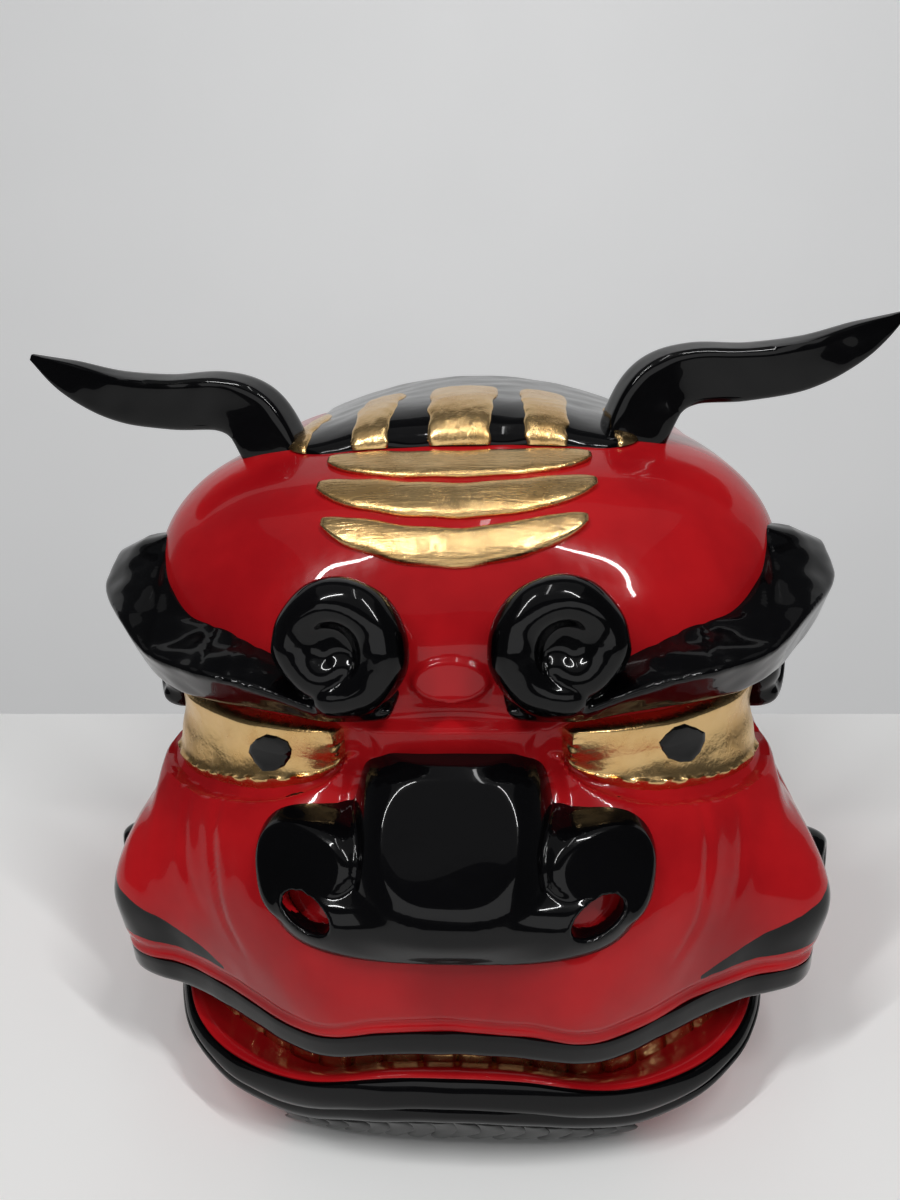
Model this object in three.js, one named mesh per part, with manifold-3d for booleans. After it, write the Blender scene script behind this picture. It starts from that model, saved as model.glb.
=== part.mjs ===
// Lion dance head: a hollow carved and lacquered wooden head on a hinged lower jaw.
// Millimetres, +Z up. The face looks along -Y, and names with _left lie on the -X side.
// The origin is the middle of the jaw's flat underside, where the head stands on a table.
import * as THREE from "three";
import { mergeVertices } from "three/addons/utils/BufferGeometryUtils.js";
import Module from "manifold-3d";

const wasm = await Module();
wasm.setup();

// Driving dimensions
const WALL = 12; // carved wall of the head
const SEAT = 0.3; // gap between a piece and what carries it
const HEAD_BACK = 180; // plane of the open back
const JOWL_Z = 48; // lower edge of the cheeks behind the mouth
const JOWL_Y = -30; // where the mouth ends and the cheek's lower edge starts
const WAIST_Z = 200; // height from which the crown's curve is drawn in by the wall
const CROWN_Z = 316; // top of the red skull
const MUZZLE_FLAT = 50; // half width of the muzzle's flat front
const MUZZLE_END = 150; // half width at which the muzzle has run out into the cheek
const LIP_HEIGHT = 13; // black rim of the upper lip
const LIP_PROUD = 3; // how far the lip rims stand out
const CAP_RISE = 17; // black hair cap above the skull
const CAP_ARCH = 250; // radius of the hair cap's arch from ear to ear
const CAP_HALF = 96; // half width of the hair cap
const CAP_FRONT = 30; // front edge of the hair cap
const STRIPE_RISE = 1.2; // gold stripes on the hair cap
const STRIPE_END = 112; // where the gold stripes end towards the back
const BAR_RISE = 4; // gold forehead bars
const PIVOT = { y: 105, z: 96, radius: 7, clearance: 0.5 }; // jaw's axis
const ARM = { inner: 147, outer: 160, radius: 20 }; // jaw's side arms
const JAW_BACK = 70; // rear edge of the jaw's floor
const JAW_FLOOR = 14; // thickness of the jaw's floor
const JAW_RIM = { front: 54, side: 30 }; // width of the jaw's red rim
const TEETH = { front: -127, half: 185, thick: 10, top: 62, power: 1.75, pitch: 17, groove: 2.4, end: -66 };
const CHIN_HALF = 90; // half width of the carved beard

// Facets
const HEAD_FACETS = { rows: 18, front: 28, side: 3 };
const CAVITY_FACETS = { rows: 9, front: 16, side: 2 };
const JAW_FACETS = { rows: 4, front: 18, side: 1 };

// Horizontal sections of the red head, from below the lip to the crown. Each section is a
// superellipse with its front at `front` and its half width at `mid`; from there the side runs back
// to the half width `rear` of the open back. The muzzle stands out in the middle of the front.
const HEAD_SECTIONS = [
  { z: 44, half: 175, front: -84, mid: -30, power: 4, muzzle: 38, rear: 172 },
  { z: 68, half: 177, front: -91, mid: -30, power: 5, muzzle: 42, rear: 174 },
  { z: 86, half: 182, front: -93, mid: -32, power: 5, muzzle: 45, rear: 176 },
  { z: 106, half: 184, front: -92, mid: -32, power: 5, muzzle: 46, rear: 177 },
  { z: 130, half: 175, front: -88, mid: -26, power: 4, muzzle: 44, rear: 177 },
  { z: 150, half: 162, front: -83, mid: -12, power: 3.2, muzzle: 36, rear: 176 },
  { z: 166, half: 153, front: -78, mid: 2, power: 2.7, muzzle: 24, rear: 175 },
  { z: 177, half: 150, front: -74, mid: 8, power: 2.5, muzzle: 14, rear: 174 },
  { z: 189, half: 147, front: -72, mid: 12, power: 2.4, muzzle: 11, rear: 173 },
  { z: 205, half: 149, front: -73, mid: 18, power: 2.4, muzzle: 11, rear: 172 },
  { z: 221, half: 157, front: -75, mid: 26, power: 2.4, muzzle: 8, rear: 170 },
  { z: 241, half: 166, front: -73, mid: 34, power: 2.3, muzzle: 4, rear: 167 },
  { z: 262, half: 168, front: -64, mid: 42, power: 2.2, muzzle: 0, rear: 162 },
  { z: 284, half: 158, front: -46, mid: 52, power: 2.1, muzzle: 0, rear: 150 },
  { z: 301, half: 136, front: -16, mid: 62, power: 2, muzzle: 0, rear: 128 },
  { z: 312, half: 98, front: 24, mid: 72, power: 2, muzzle: 0, rear: 94 },
  { z: CROWN_Z, half: 40, front: 52, mid: 84, power: 2, muzzle: 0, rear: 40 },
];

// Lower edge of the upper lip, from the middle of the mouth to its corner
const LIP_LINE = [
  { x: 0, z: 72 },
  { x: 30, z: 70 },
  { x: 62, z: 64.5 },
  { x: 100, z: 64.5 },
  { x: 145, z: 62 },
  { x: 200, z: 59 },
];

// Horizontal sections of the jaw, and the upper edge of its lip from the middle to the side
const JAW_SECTIONS = [
  { z: 0, half: 147, front: -110, mid: 10, power: 3, muzzle: 0, rear: 147 },
  { z: 8, half: 152, front: -117, mid: 10, power: 3, muzzle: 0, rear: 150 },
  { z: 24, half: 156, front: -127, mid: 10, power: 3, muzzle: 0, rear: 150 },
  { z: 42, half: 157, front: -135, mid: 10, power: 3, muzzle: 0, rear: 150 },
  { z: 64, half: 157, front: -137, mid: 10, power: 3, muzzle: 0, rear: 150 },
];
const JAW_LINE = [
  { x: 0, z: 52 },
  { x: 32, z: 49 },
  { x: 72, z: 38 },
  { x: 112, z: 41 },
  { x: 200, z: 47 },
];

// Nose: the tall block of the bridge and the broad band that carries the nostrils
const NOSE_BLOCK = [
  { z: 126, half: 57, front: -140, mid: -70, power: 2.6, muzzle: 0, rear: 57 },
  { z: 140, half: 55, front: -147, mid: -70, power: 2.8, muzzle: 0, rear: 55 },
  { z: 158, half: 50, front: -141, mid: -70, power: 3, muzzle: 0, rear: 50 },
  { z: 177, half: 45, front: -127, mid: -66, power: 3, muzzle: 0, rear: 45 },
  { z: 190, half: 41, front: -111, mid: -62, power: 3, muzzle: 0, rear: 41 },
  { z: 196, half: 33, front: -99, mid: -58, power: 3, muzzle: 0, rear: 33 },
];
const NOSE_BAND = [
  { z: 118, half: 76, front: -136, mid: -66, power: 3.2, muzzle: 0, rear: 74 },
  { z: 126, half: 86, front: -143, mid: -66, power: 3.5, muzzle: 0, rear: 86 },
  { z: 138, half: 90, front: -142, mid: -64, power: 3.5, muzzle: 0, rear: 90 },
  { z: 147, half: 90, front: -136, mid: -62, power: 3.2, muzzle: 0, rear: 90 },
  { z: 154, half: 86, front: -120, mid: -58, power: 3, muzzle: 0, rear: 86 },
];
const NOSE_WING = { x: 66, y: -91, z: 149, wide: 24, deep: 31, high: 28 };
const NOSTRIL = { x: 64, y: -133, z: 138, wide: 10, high: 7.5, depth: 16, slant: 24 };

// Right brow: the arm from its blunt outer end to the curl, and the curl itself
const BROW_ARM = [
  { x: 168, y: 2, z: 262, wide: 42, out: 16 },
  { x: 165, y: -14, z: 252, wide: 54, out: 18 },
  { x: 150, y: -42, z: 238, wide: 52, out: 22 },
  { x: 122, y: -62, z: 229, wide: 45, out: 22 },
  { x: 94, y: -73, z: 226, wide: 38, out: 22 },
  { x: 68, y: -77, z: 222, wide: 30, out: 21 },
  { x: 50, y: -78, z: 219, wide: 24, out: 19 },
];
const CURL = { x: 49, y: -72, z: 244, radius: 27, inner: 6, turns: 1.3, tube: 13, tip: 9, flat: 14 };

// Right eye, its pupil and the tufts behind it
const EYE = { x: 96, y: -50, z: 192, wide: 52, deep: 27, high: 25, turn: 27 };
const PUPIL = { x: 92.5, glance: 7.5, z: 189.5, wide: 10.6, high: 9.5, proud: 1 };
const TEMPLE_CURL = { x: 158, y: 12, z: 198, wide: 16, deep: 24, high: 25 };
const CHEEK_CURL = { x: 180, y: -30, z: 100, wide: 11, deep: 30, high: 19 };

// Right ear, from its root on the skull to the tip
const EAR = [
  { x: 98, y: 58, z: 295, wide: 36, thick: 26 },
  { x: 104, y: 58, z: 315, wide: 38, thick: 26 },
  { x: 114, y: 60, z: 331, wide: 37, thick: 25 },
  { x: 132, y: 63, z: 338, wide: 33, thick: 23 },
  { x: 162, y: 66, z: 338, wide: 31, thick: 21 },
  { x: 194, y: 69, z: 342, wide: 29, thick: 18 },
  { x: 222, y: 71, z: 353, wide: 21, thick: 12 },
  { x: 243, y: 72, z: 365, wide: 4, thick: 3 },
];
const EAR_PEG = { radius: 6, length: 14 };
const EAR_SET = { right: { x: -7, z: 5 }, left: { x: 4, z: -3 } }; // how each ear sits: outwards and up

// Forehead bars from the brow upwards: height of the middle, half length, depth of the chevron
const BARS = [
  { mid: -3, half: 64, sag: 17, high: 21 },
  { mid: 25, half: 70, sag: 14, high: 24 },
  { mid: 53, half: 69, sag: 8, high: 24 },
];
const BAR_PLANE = { y: -47, z: 283, tilt: 52 }; // where the bars' outlines are drawn

// Gold stripes across the hair cap: middle and half width
const STRIPES = [
  { x: -89, half: 7 },
  { x: -48, half: 11.5 },
  { x: 0, half: 19 },
  { x: 46, half: 13 },
  { x: 89, half: 7 },
];

// Lacquers and leaf
const lacquer = (colour, roughness, metalness = 0) =>
  new THREE.MeshStandardMaterial({ color: colour, roughness, metalness });
const RED = lacquer(0x9c0d14, 0.15);
const BLACK = lacquer(0x08080a, 0.12);
const GOLD = lacquer(0xd6a54a, 0.3, 1);
const WOOD = lacquer(0x8a6a48, 0.6);

// Small tools

// Catmull-Rom through a table's rows: `count` + 1 rows, evenly spread along the table
function smoothRows(table, count) {
  const at = (i) => table[Math.min(Math.max(i, 0), table.length - 1)];
  const rows = [];
  for (let k = 0; k <= count; k++) {
    const s = (k / count) * (table.length - 1);
    const i = Math.min(Math.floor(s), table.length - 2);
    const t = s - i;
    const row = {};
    for (const key of Object.keys(table[0])) {
      const [a, b, c, d] = [at(i - 1)[key], at(i)[key], at(i + 1)[key], at(i + 2)[key]];
      const [into, out] = [(c - a) / 2, (d - b) / 2];
      row[key] =
        (2 * b - 2 * c + into + out) * t ** 3 + (3 * c - 3 * b - 2 * into - out) * t ** 2 + into * t + b;
    }
    rows.push(row);
  }
  return rows;
}

// A closed body through rings of points, with a fan at each end. The diagonals mirror at mid-ring.
function loft(rings) {
  const n = rings[0].length;
  const points = rings.flat();
  const index = [];
  for (let j = 0; j + 1 < rings.length; j++)
    for (let i = 0; i < n; i++) {
      const k = (i + 1) % n;
      const [a, b, c, d] = [j * n + i, j * n + k, (j + 1) * n + k, (j + 1) * n + i];
      index.push(...(2 * i < n - 1 ? [a, b, c, a, c, d] : [a, b, d, b, c, d]));
    }
  for (const end of [0, rings.length - 1]) {
    const centre = points.length;
    points.push(rings[end].reduce((sum, p) => sum.add(p), new THREE.Vector3()).divideScalar(n));
    for (let i = 0; i < n; i++) {
      const [a, b] = [end * n + i, end * n + ((i + 1) % n)];
      index.push(centre, ...(end === 0 ? [b, a] : [a, b]));
    }
  }
  return solid(new THREE.BufferGeometry().setFromPoints(points).setIndex(index));
}

// A three.js geometry as a solid that can be joined and cut
function solid(geometry) {
  const bare = geometry.clone();
  bare.deleteAttribute("normal");
  bare.deleteAttribute("uv");
  const merged = mergeVertices(bare, 1e-4);
  const make = (triVerts) =>
    new wasm.Manifold(
      new wasm.Mesh({ numProp: 3, vertProperties: merged.attributes.position.array, triVerts }),
    );
  const triVerts = Uint32Array.from(merged.index.array);
  const made = make(triVerts);
  return made.volume() > 0 ? made : make(triVerts.reverse());
}

function box(low, high) {
  const size = new THREE.Vector3().subVectors(high, low);
  const centre = new THREE.Vector3().addVectors(low, high).multiplyScalar(0.5);
  return solid(new THREE.BoxGeometry(...size).translate(...centre));
}

const vec = (x, y, z) => new THREE.Vector3(x, y, z);

function ellipsoid({ x, y, z, wide, deep, high, turn = 0 }, grow = 0, facets = [16, 9]) {
  const ball = new THREE.SphereGeometry(1, ...facets);
  ball.scale(wide + grow, deep + grow, high + grow);
  ball.rotateZ(THREE.MathUtils.degToRad(turn));
  return solid(ball.translate(x, y, z));
}

// A rod along +X
function rod(radius, x0, x1, y, z, sides = 16) {
  const bar = new THREE.CylinderGeometry(radius, radius, x1 - x0, sides).rotateZ(Math.PI / 2);
  return solid(bar.translate((x0 + x1) / 2, y, z));
}

// A line that a short table gives for x >= 0, mirrored to both sides
function mirroredLine(table, steps) {
  const half = smoothRows(table, steps);
  return [...half.slice(1).reverse().map(({ x, z }) => ({ x: -x, z })), ...half];
}

// Everything between two heights above a mirrored line, from the front to `back`
function underLine(table, below, above, back) {
  const line = mirroredLine(table, 8);
  const shape = new THREE.Shape();
  line.forEach(({ x, z }, i) => (i ? shape.lineTo(x, z + above) : shape.moveTo(x, z + above)));
  [...line].reverse().forEach(({ x, z }) => shape.lineTo(x, below === null ? -20 : z + below));
  const depth = back + 300;
  const slab = new THREE.ExtrudeGeometry(shape, { depth, bevelEnabled: false });
  return solid(slab.rotateX(Math.PI / 2).translate(0, back, 0));
}

// Sections of the head and the jaw

// One horizontal section as a ring, drawn in by `inset`
function sectionRing(row, inset, back, facets) {
  const half = row.half - inset;
  const depth = row.mid - row.front - inset;
  const ring = [];
  const side = (sign, i) => {
    const t = i / facets.side;
    const wide = half + (row.rear - row.half) * THREE.MathUtils.smoothstep(t, 0, 1);
    return vec(sign * wide, row.mid + (back - row.mid) * t, row.z);
  };
  for (let i = facets.side; i > 0; i--) ring.push(side(-1, i));
  for (let i = 0; i <= facets.front; i++) {
    const angle = Math.PI * (1 - i / facets.front);
    const [c, s] = [Math.cos(angle), Math.sin(angle)];
    const r = (Math.abs(c) ** row.power + Math.abs(s) ** row.power) ** (-1 / row.power);
    const x = half * r * c;
    const muzzle = row.muzzle * (1 - THREE.MathUtils.smoothstep(Math.abs(x), MUZZLE_FLAT, MUZZLE_END));
    ring.push(vec(x, row.mid - depth * r * s - muzzle, row.z));
  }
  for (let i = 1; i <= facets.side; i++) ring.push(side(1, i));
  return ring;
}

function sectionLoft(table, inset, back, facets) {
  return loft(smoothRows(table, facets.rows).map((row) => sectionRing(row, inset, back, facets)));
}

// The red head as a full body, drawn in by `inset`, or grown where that is negative
function headForm(inset, back = HEAD_BACK, facets = HEAD_FACETS) {
  const rise = (CROWN_Z - inset - WAIST_Z) / (CROWN_Z - WAIST_Z);
  const drawn = HEAD_SECTIONS.map((row) => ({
    ...row,
    z: row.z > WAIST_Z ? WAIST_Z + (row.z - WAIST_Z) * rise : row.z,
  }));
  return sectionLoft(drawn, inset, back, facets);
}

const jawForm = (inset) => sectionLoft(JAW_SECTIONS, inset, JAW_BACK, JAW_FACETS);

const seatOnHead = headForm(-SEAT);
const cavity = headForm(WALL, HEAD_BACK + 30, CAVITY_FACETS);
const inFront = (y) => box(vec(-300, -300, -50), vec(300, y, 420));
const behind = (y) => box(vec(-300, y, -50), vec(300, 300, 420));

// A body swept through rows of a table, with oval sections across the path
function sweep(rows, sides, outward) {
  const centre = rows.map(({ x, y, z }) => vec(x, y, z));
  const rings = rows.map((row, j) => {
    const along = vec().subVectors(
      centre[Math.min(j + 1, rows.length - 1)],
      centre[Math.max(j - 1, 0)],
    );
    const out = outward(row).addScaledVector(along.normalize(), -outward(row).dot(along)).normalize();
    const across = vec().crossVectors(along, out);
    return Array.from({ length: sides }, (_, i) => {
      const angle = (2 * Math.PI * i) / sides;
      return centre[j]
        .clone()
        .addScaledVector(across, row.across * Math.cos(angle))
        .addScaledVector(out, row.out * Math.sin(angle));
    });
  });
  return loft(rings);
}

// Pieces of the head

function upperHead(earHoles, pegHoles) {
  const mouth = underLine(LIP_LINE, null, LIP_HEIGHT + SEAT, JOWL_Y);
  const below = box(vec(-300, -300, -50), vec(300, 300, JOWL_Z));
  const cuts = [cavity, mouth, below, ...earHoles, ...pegHoles];
  return cuts.reduce((head, cut) => head.subtract(cut), headForm(0));
}

function upperLip() {
  const band = underLine(LIP_LINE, 0, LIP_HEIGHT, JOWL_Y - SEAT);
  return headForm(-LIP_PROUD).subtract(cavity).intersect(band);
}

function nose() {
  const facets = { rows: 5, front: 14, side: 1 };
  const wing = (sign) => ellipsoid({ ...NOSE_WING, x: sign * NOSE_WING.x });
  const nostril = (sign) => {
    const hole = new THREE.CylinderGeometry(1, 1, 2 * NOSTRIL.depth, 16).scale(NOSTRIL.wide, 1, NOSTRIL.high);
    hole.rotateY(THREE.MathUtils.degToRad(sign * NOSTRIL.slant)).rotateX(THREE.MathUtils.degToRad(-28));
    return solid(hole.translate(sign * NOSTRIL.x, NOSTRIL.y, NOSTRIL.z));
  };
  return sectionLoft(NOSE_BLOCK, 0, -40, facets)
    .add(sectionLoft(NOSE_BAND, 0, -40, facets))
    .add(wing(-1))
    .add(wing(1))
    .subtract(nostril(-1))
    .subtract(nostril(1))
    .subtract(seatOnHead);
}

function brow() {
  const outFromSkull = ({ x, y }) => vec(x, y - 40, 0).normalize();
  const arm = sweep(
    smoothRows(BROW_ARM, 8).map((row) => ({ ...row, across: row.wide / 2 })),
    10,
    outFromSkull,
  );
  const outFromBrow = () => vec(0.25, -1, 0.3).normalize();
  const facing = outFromBrow();
  const up = vec(0, 0, 1).addScaledVector(facing, -facing.z).normalize();
  const side = vec().crossVectors(up, facing);
  const steps = 16;
  const curl = Array.from({ length: steps + 1 }, (_, i) => {
    const t = i / steps;
    const angle = -Math.PI / 2 - 2 * Math.PI * CURL.turns * t;
    const r = CURL.radius + (CURL.inner - CURL.radius) * t;
    const p = vec(CURL.x, CURL.y, CURL.z)
      .addScaledVector(side, r * Math.cos(angle))
      .addScaledVector(up, r * Math.sin(angle));
    const tube = CURL.tube + (CURL.tip - CURL.tube) * t;
    return { x: p.x, y: p.y, z: p.z, across: tube, out: tube + CURL.flat * (1 - t) * 0.5 };
  });
  const half = Math.ceil(steps / 2);
  const disc = ellipsoid({ ...CURL, wide: CURL.radius, deep: CURL.flat, high: CURL.radius });
  return sweep(curl.slice(0, half + 1), 8, outFromBrow)
    .add(sweep(curl.slice(half), 8, outFromBrow))
    .add(disc)
    .add(arm)
    .subtract(seatOnHead)
    .subtract(ellipsoid(EYE, SEAT));
}

function eye() {
  return ellipsoid(EYE).subtract(seatOnHead);
}

function pupil(sign) {
  const plug = new THREE.CylinderGeometry(1, 1, 80, 12).scale(PUPIL.wide, 1, PUPIL.high);
  const drilled = solid(plug.translate(sign * PUPIL.x + PUPIL.glance, EYE.y - 40, PUPIL.z));
  const ball = (grow) => ellipsoid({ ...EYE, x: sign * EYE.x, turn: sign * EYE.turn }, grow);
  return ball(PUPIL.proud + SEAT).intersect(drilled).subtract(ball(SEAT));
}

const tuft = (place) => ellipsoid(place, 0, [10, 7]).subtract(seatOnHead);

function forehead(bar) {
  const shape = new THREE.Shape();
  const steps = 6;
  const edge = (t, share) => [bar.half * t, bar.mid + bar.sag * t * t + bar.high * share * Math.sqrt(1 - t ** 4)];
  for (let i = -steps; i <= steps; i++) {
    const point = edge(i / steps, -0.5);
    i === -steps ? shape.moveTo(...point) : shape.lineTo(...point);
  }
  for (let i = steps - 1; i > -steps; i--) shape.lineTo(...edge(i / steps, 0.5));
  const prism = new THREE.ExtrudeGeometry(shape, { depth: 120, bevelEnabled: false }).translate(0, 0, -60);
  prism.rotateX(THREE.MathUtils.degToRad(BAR_PLANE.tilt)).translate(0, BAR_PLANE.y, BAR_PLANE.z);
  return headForm(-BAR_RISE).intersect(solid(prism)).subtract(seatOnHead);
}

// Everything above the hair cap's outline, grown by `grow`
function capOutline(grow) {
  const [w, f, r] = [CAP_HALF + grow, CAP_FRONT - grow, 26];
  const shape = new THREE.Shape();
  shape.moveTo(-w, HEAD_BACK);
  shape.lineTo(-w, f + r);
  shape.quadraticCurveTo(-w, f, -w + r, f);
  shape.lineTo(w - r, f);
  shape.quadraticCurveTo(w, f, w, f + r);
  shape.lineTo(w, HEAD_BACK);
  shape.closePath();
  const prism = new THREE.ExtrudeGeometry(shape, { depth: 160, bevelEnabled: false, curveSegments: 5 });
  return solid(prism.translate(0, 0, 250));
}

function capForm(grow) {
  const radius = CAP_ARCH + grow;
  const arch = new THREE.CylinderGeometry(radius, radius, 800, 96, 1, false);
  const vault = solid(arch.translate(0, 0, CROWN_Z + CAP_RISE - CAP_ARCH));
  return headForm(-CAP_RISE - grow).intersect(capOutline(grow)).intersect(vault);
}

function hairStripe({ x, half }) {
  const slab = box(vec(x - half, -100, 200), vec(x + half, STRIPE_END, 420));
  return capForm(STRIPE_RISE + SEAT).intersect(slab).subtract(capForm(SEAT)).subtract(seatOnHead);
}

const earRows = (set) => EAR.map((row) => ({ ...row, x: row.x + set.x, z: row.z + set.z }));

function ear(set) {
  const rows = smoothRows(earRows(set), 14).map((row) => ({ ...row, across: row.wide / 2, out: row.thick / 2 }));
  const blade = sweep(rows, 8, () => vec(0, -1, 0));
  return blade.subtract(seatOnHead).subtract(capForm(STRIPE_RISE + 2 * SEAT)).add(earPeg(0));
}

// The ear's peg runs from inside its root down into the skull
function earPeg(grow) {
  const [end, start] = EAR;
  const root = vec(start.x, start.y, start.z);
  const down = vec(end.x, end.y, end.z).sub(root).normalize();
  const length = EAR_PEG.length + 16 + grow;
  const peg = new THREE.CylinderGeometry(EAR_PEG.radius + grow, EAR_PEG.radius + grow, length, 12);
  peg.translate(0, length / 2, 0);
  peg.applyQuaternion(new THREE.Quaternion().setFromUnitVectors(vec(0, 1, 0), down));
  return solid(peg.translate(root.x, root.y, root.z));
}

// Pieces of the jaw

const jawTop = (grow) => underLine(JAW_LINE, null, grow, JAW_BACK);

function lowerJaw() {
  const basin = JAW_SECTIONS.slice(1).map((row, i) => ({
    ...row,
    z: JAW_FLOOR + i * 22,
    half: row.half - JAW_RIM.side,
    rear: row.half - JAW_RIM.side,
    front: row.front + JAW_RIM.front,
  }));
  const arm = (sign) => {
    const shape = new THREE.Shape();
    shape.moveTo(-20, 4);
    shape.lineTo(PIVOT.y - 20, 4);
    shape.lineTo(PIVOT.y + ARM.radius, PIVOT.z - ARM.radius);
    shape.absarc(PIVOT.y, PIVOT.z, ARM.radius, 0, Math.PI, false);
    shape.lineTo(PIVOT.y - ARM.radius - 6, PIVOT.z - 26);
    shape.lineTo(10, 40);
    shape.lineTo(-20, 38);
    const plate = new THREE.ExtrudeGeometry(shape, {
      depth: ARM.outer - ARM.inner,
      bevelEnabled: false,
      curveSegments: 10,
    });
    plate.applyMatrix4(new THREE.Matrix4().makeBasis(vec(0, 1, 0), vec(0, 0, 1), vec(1, 0, 0)));
    return solid(plate.translate(sign > 0 ? ARM.inner : -ARM.outer, 0, 0));
  };
  const bore = rod(PIVOT.radius + PIVOT.clearance, -200, 200, PIVOT.y, PIVOT.z);
  return jawForm(0)
    .intersect(jawTop(0))
    .subtract(sectionLoft(basin, 0, JAW_BACK + 20, { rows: 3, front: 20, side: 1 }))
    .add(arm(-1))
    .add(arm(1))
    .subtract(bore);
}

function lowerLip() {
  const band = underLine(JAW_LINE, -15, 0, JOWL_Y);
  return jawForm(-LIP_PROUD).subtract(jawForm(-SEAT)).intersect(band);
}

function chinBeard() {
  const under = underLine(JAW_LINE, null, -15 - SEAT, -40);
  const middle = box(vec(-CHIN_HALF, -200, 1), vec(CHIN_HALF, -40, 60));
  const strands = 11;
  const pitch = (2 * CHIN_HALF) / strands;
  const beard = jawForm(-LIP_PROUD - 3).subtract(jawForm(-SEAT)).intersect(under).intersect(middle);
  return Array.from({ length: strands - 1 }, (_, i) => (i + 1) * pitch - CHIN_HALF).reduce((cut, x) => {
    const groove = new THREE.CylinderGeometry(2.2, 2.2, 16, 4).translate(x, -122, 8);
    return cut.subtract(solid(groove));
  }, beard);
}

function lowerTeeth() {
  const arch = (inset) => {
    const rows = [20, TEETH.top].map((z) => ({ ...TEETH, z, mid: 10, muzzle: 0, rear: TEETH.half }));
    return sectionLoft(rows, inset, 40, { rows: 1, front: 28, side: 1 });
  };
  const row = arch(0).subtract(arch(TEETH.thick)).subtract(jawTop(SEAT)).subtract(behind(TEETH.end));
  const count = Math.floor(TEETH.half / TEETH.pitch);
  const gaps = Array.from({ length: 2 * count + 1 }, (_, i) => (i - count) * TEETH.pitch);
  return gaps.reduce((cut, x) => {
    const notch = new THREE.CylinderGeometry(TEETH.groove, TEETH.groove, 60, 6);
    const share = Math.abs(x / TEETH.half) ** TEETH.power;
    const y = 10 - (10 - TEETH.front) * (1 - share) ** (1 / TEETH.power);
    return cut.subtract(solid(notch.rotateX(Math.PI / 2).translate(x, y, TEETH.top)));
  }, row);
}

// Assembly

function meshOf(name, made, material, mirrored = false) {
  const { vertProperties, triVerts } = made.getMesh();
  const geometry = new THREE.BufferGeometry();
  geometry.setAttribute("position", new THREE.BufferAttribute(vertProperties, 3));
  geometry.setIndex(new THREE.BufferAttribute(triVerts, 1));
  geometry.computeVertexNormals();
  const mesh = new THREE.Mesh(geometry, material);
  mesh.name = name;
  if (mirrored) mesh.scale.x = -1;
  return mesh;
}

const pair = (name, made, material) => [
  meshOf(`${name}_right`, made, material),
  meshOf(`${name}_left`, made, material, true),
];

// The same body on the other side
function mirrored(made) {
  const { vertProperties, triVerts } = made.getMesh();
  const points = vertProperties.map((v, i) => (i % 3 === 0 ? -v : v));
  const geometry = new THREE.BufferGeometry().setAttribute("position", new THREE.BufferAttribute(points, 3));
  return solid(geometry.setIndex(new THREE.BufferAttribute(triVerts, 1)));
}

const bothSides = (made) => [made, mirrored(made)];
const peg = (grow) => rod(PIVOT.radius + grow, ARM.inner, 179, PIVOT.y, PIVOT.z);

const head = new THREE.Group();
head.add(
  meshOf("upper_head", upperHead(bothSides(earPeg(SEAT)), bothSides(peg(SEAT))), RED),
  meshOf("upper_lip", upperLip(), BLACK),
  meshOf("nose", nose(), BLACK),
  ...pair("brow", brow(), BLACK),
  ...pair("eye", eye(), GOLD),
  meshOf("pupil_right", pupil(1), BLACK),
  meshOf("pupil_left", pupil(-1), BLACK),
  ...pair("temple_curl", tuft(TEMPLE_CURL), BLACK),
  ...pair("cheek_curl", tuft(CHEEK_CURL), BLACK),
  meshOf("ear_right", ear(EAR_SET.right), BLACK),
  meshOf("ear_left", ear(EAR_SET.left), BLACK, true),
  ...BARS.map((bar, i) => meshOf(`forehead_bar_${i + 1}`, forehead(bar), GOLD)),
  meshOf("hair_cap", capForm(0).subtract(seatOnHead), BLACK),
  ...STRIPES.map((stripe, i) => meshOf(`hair_stripe_${i + 1}`, hairStripe(stripe), GOLD)),
  ...pair("jaw_peg", peg(0), WOOD),
);

const jaw = new THREE.Group();
jaw.add(
  meshOf("lower_jaw", lowerJaw(), RED),
  meshOf("lower_lip", lowerLip(), BLACK),
  meshOf("chin_beard", chinBeard(), BLACK),
  meshOf("lower_teeth", lowerTeeth(), GOLD),
);

const lionHead = new THREE.Group();
lionHead.add(head, jaw);
export default lionHead;
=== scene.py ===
import math

import bmesh
import bpy
import numpy as np
import openvdb
from mathutils import Matrix, Vector


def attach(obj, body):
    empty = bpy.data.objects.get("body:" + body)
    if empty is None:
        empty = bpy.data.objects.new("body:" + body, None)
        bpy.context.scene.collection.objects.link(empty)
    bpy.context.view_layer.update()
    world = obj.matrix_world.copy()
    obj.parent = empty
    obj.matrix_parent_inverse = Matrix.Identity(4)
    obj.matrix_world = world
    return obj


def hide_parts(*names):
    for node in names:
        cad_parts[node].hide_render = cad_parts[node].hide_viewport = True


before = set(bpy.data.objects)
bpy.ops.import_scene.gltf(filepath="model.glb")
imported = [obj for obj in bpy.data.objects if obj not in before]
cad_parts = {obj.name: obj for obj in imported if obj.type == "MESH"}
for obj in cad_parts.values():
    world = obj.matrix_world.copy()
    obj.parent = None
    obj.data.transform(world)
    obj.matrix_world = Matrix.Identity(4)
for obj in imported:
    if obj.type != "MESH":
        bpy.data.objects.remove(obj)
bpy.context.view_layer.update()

bl_info = {
    "name": "Lion dance head",
    "version": (1, 0, 0),
    "blender": (4, 5, 0),
    "location": "View3D > Sidebar > Lion head",
    "description": "Carved and lacquered lion dance head with a hinged jaw",
    "category": "Add Mesh",
}

MM = 0.001

# Forms shared with the solids, in millimetres

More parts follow.
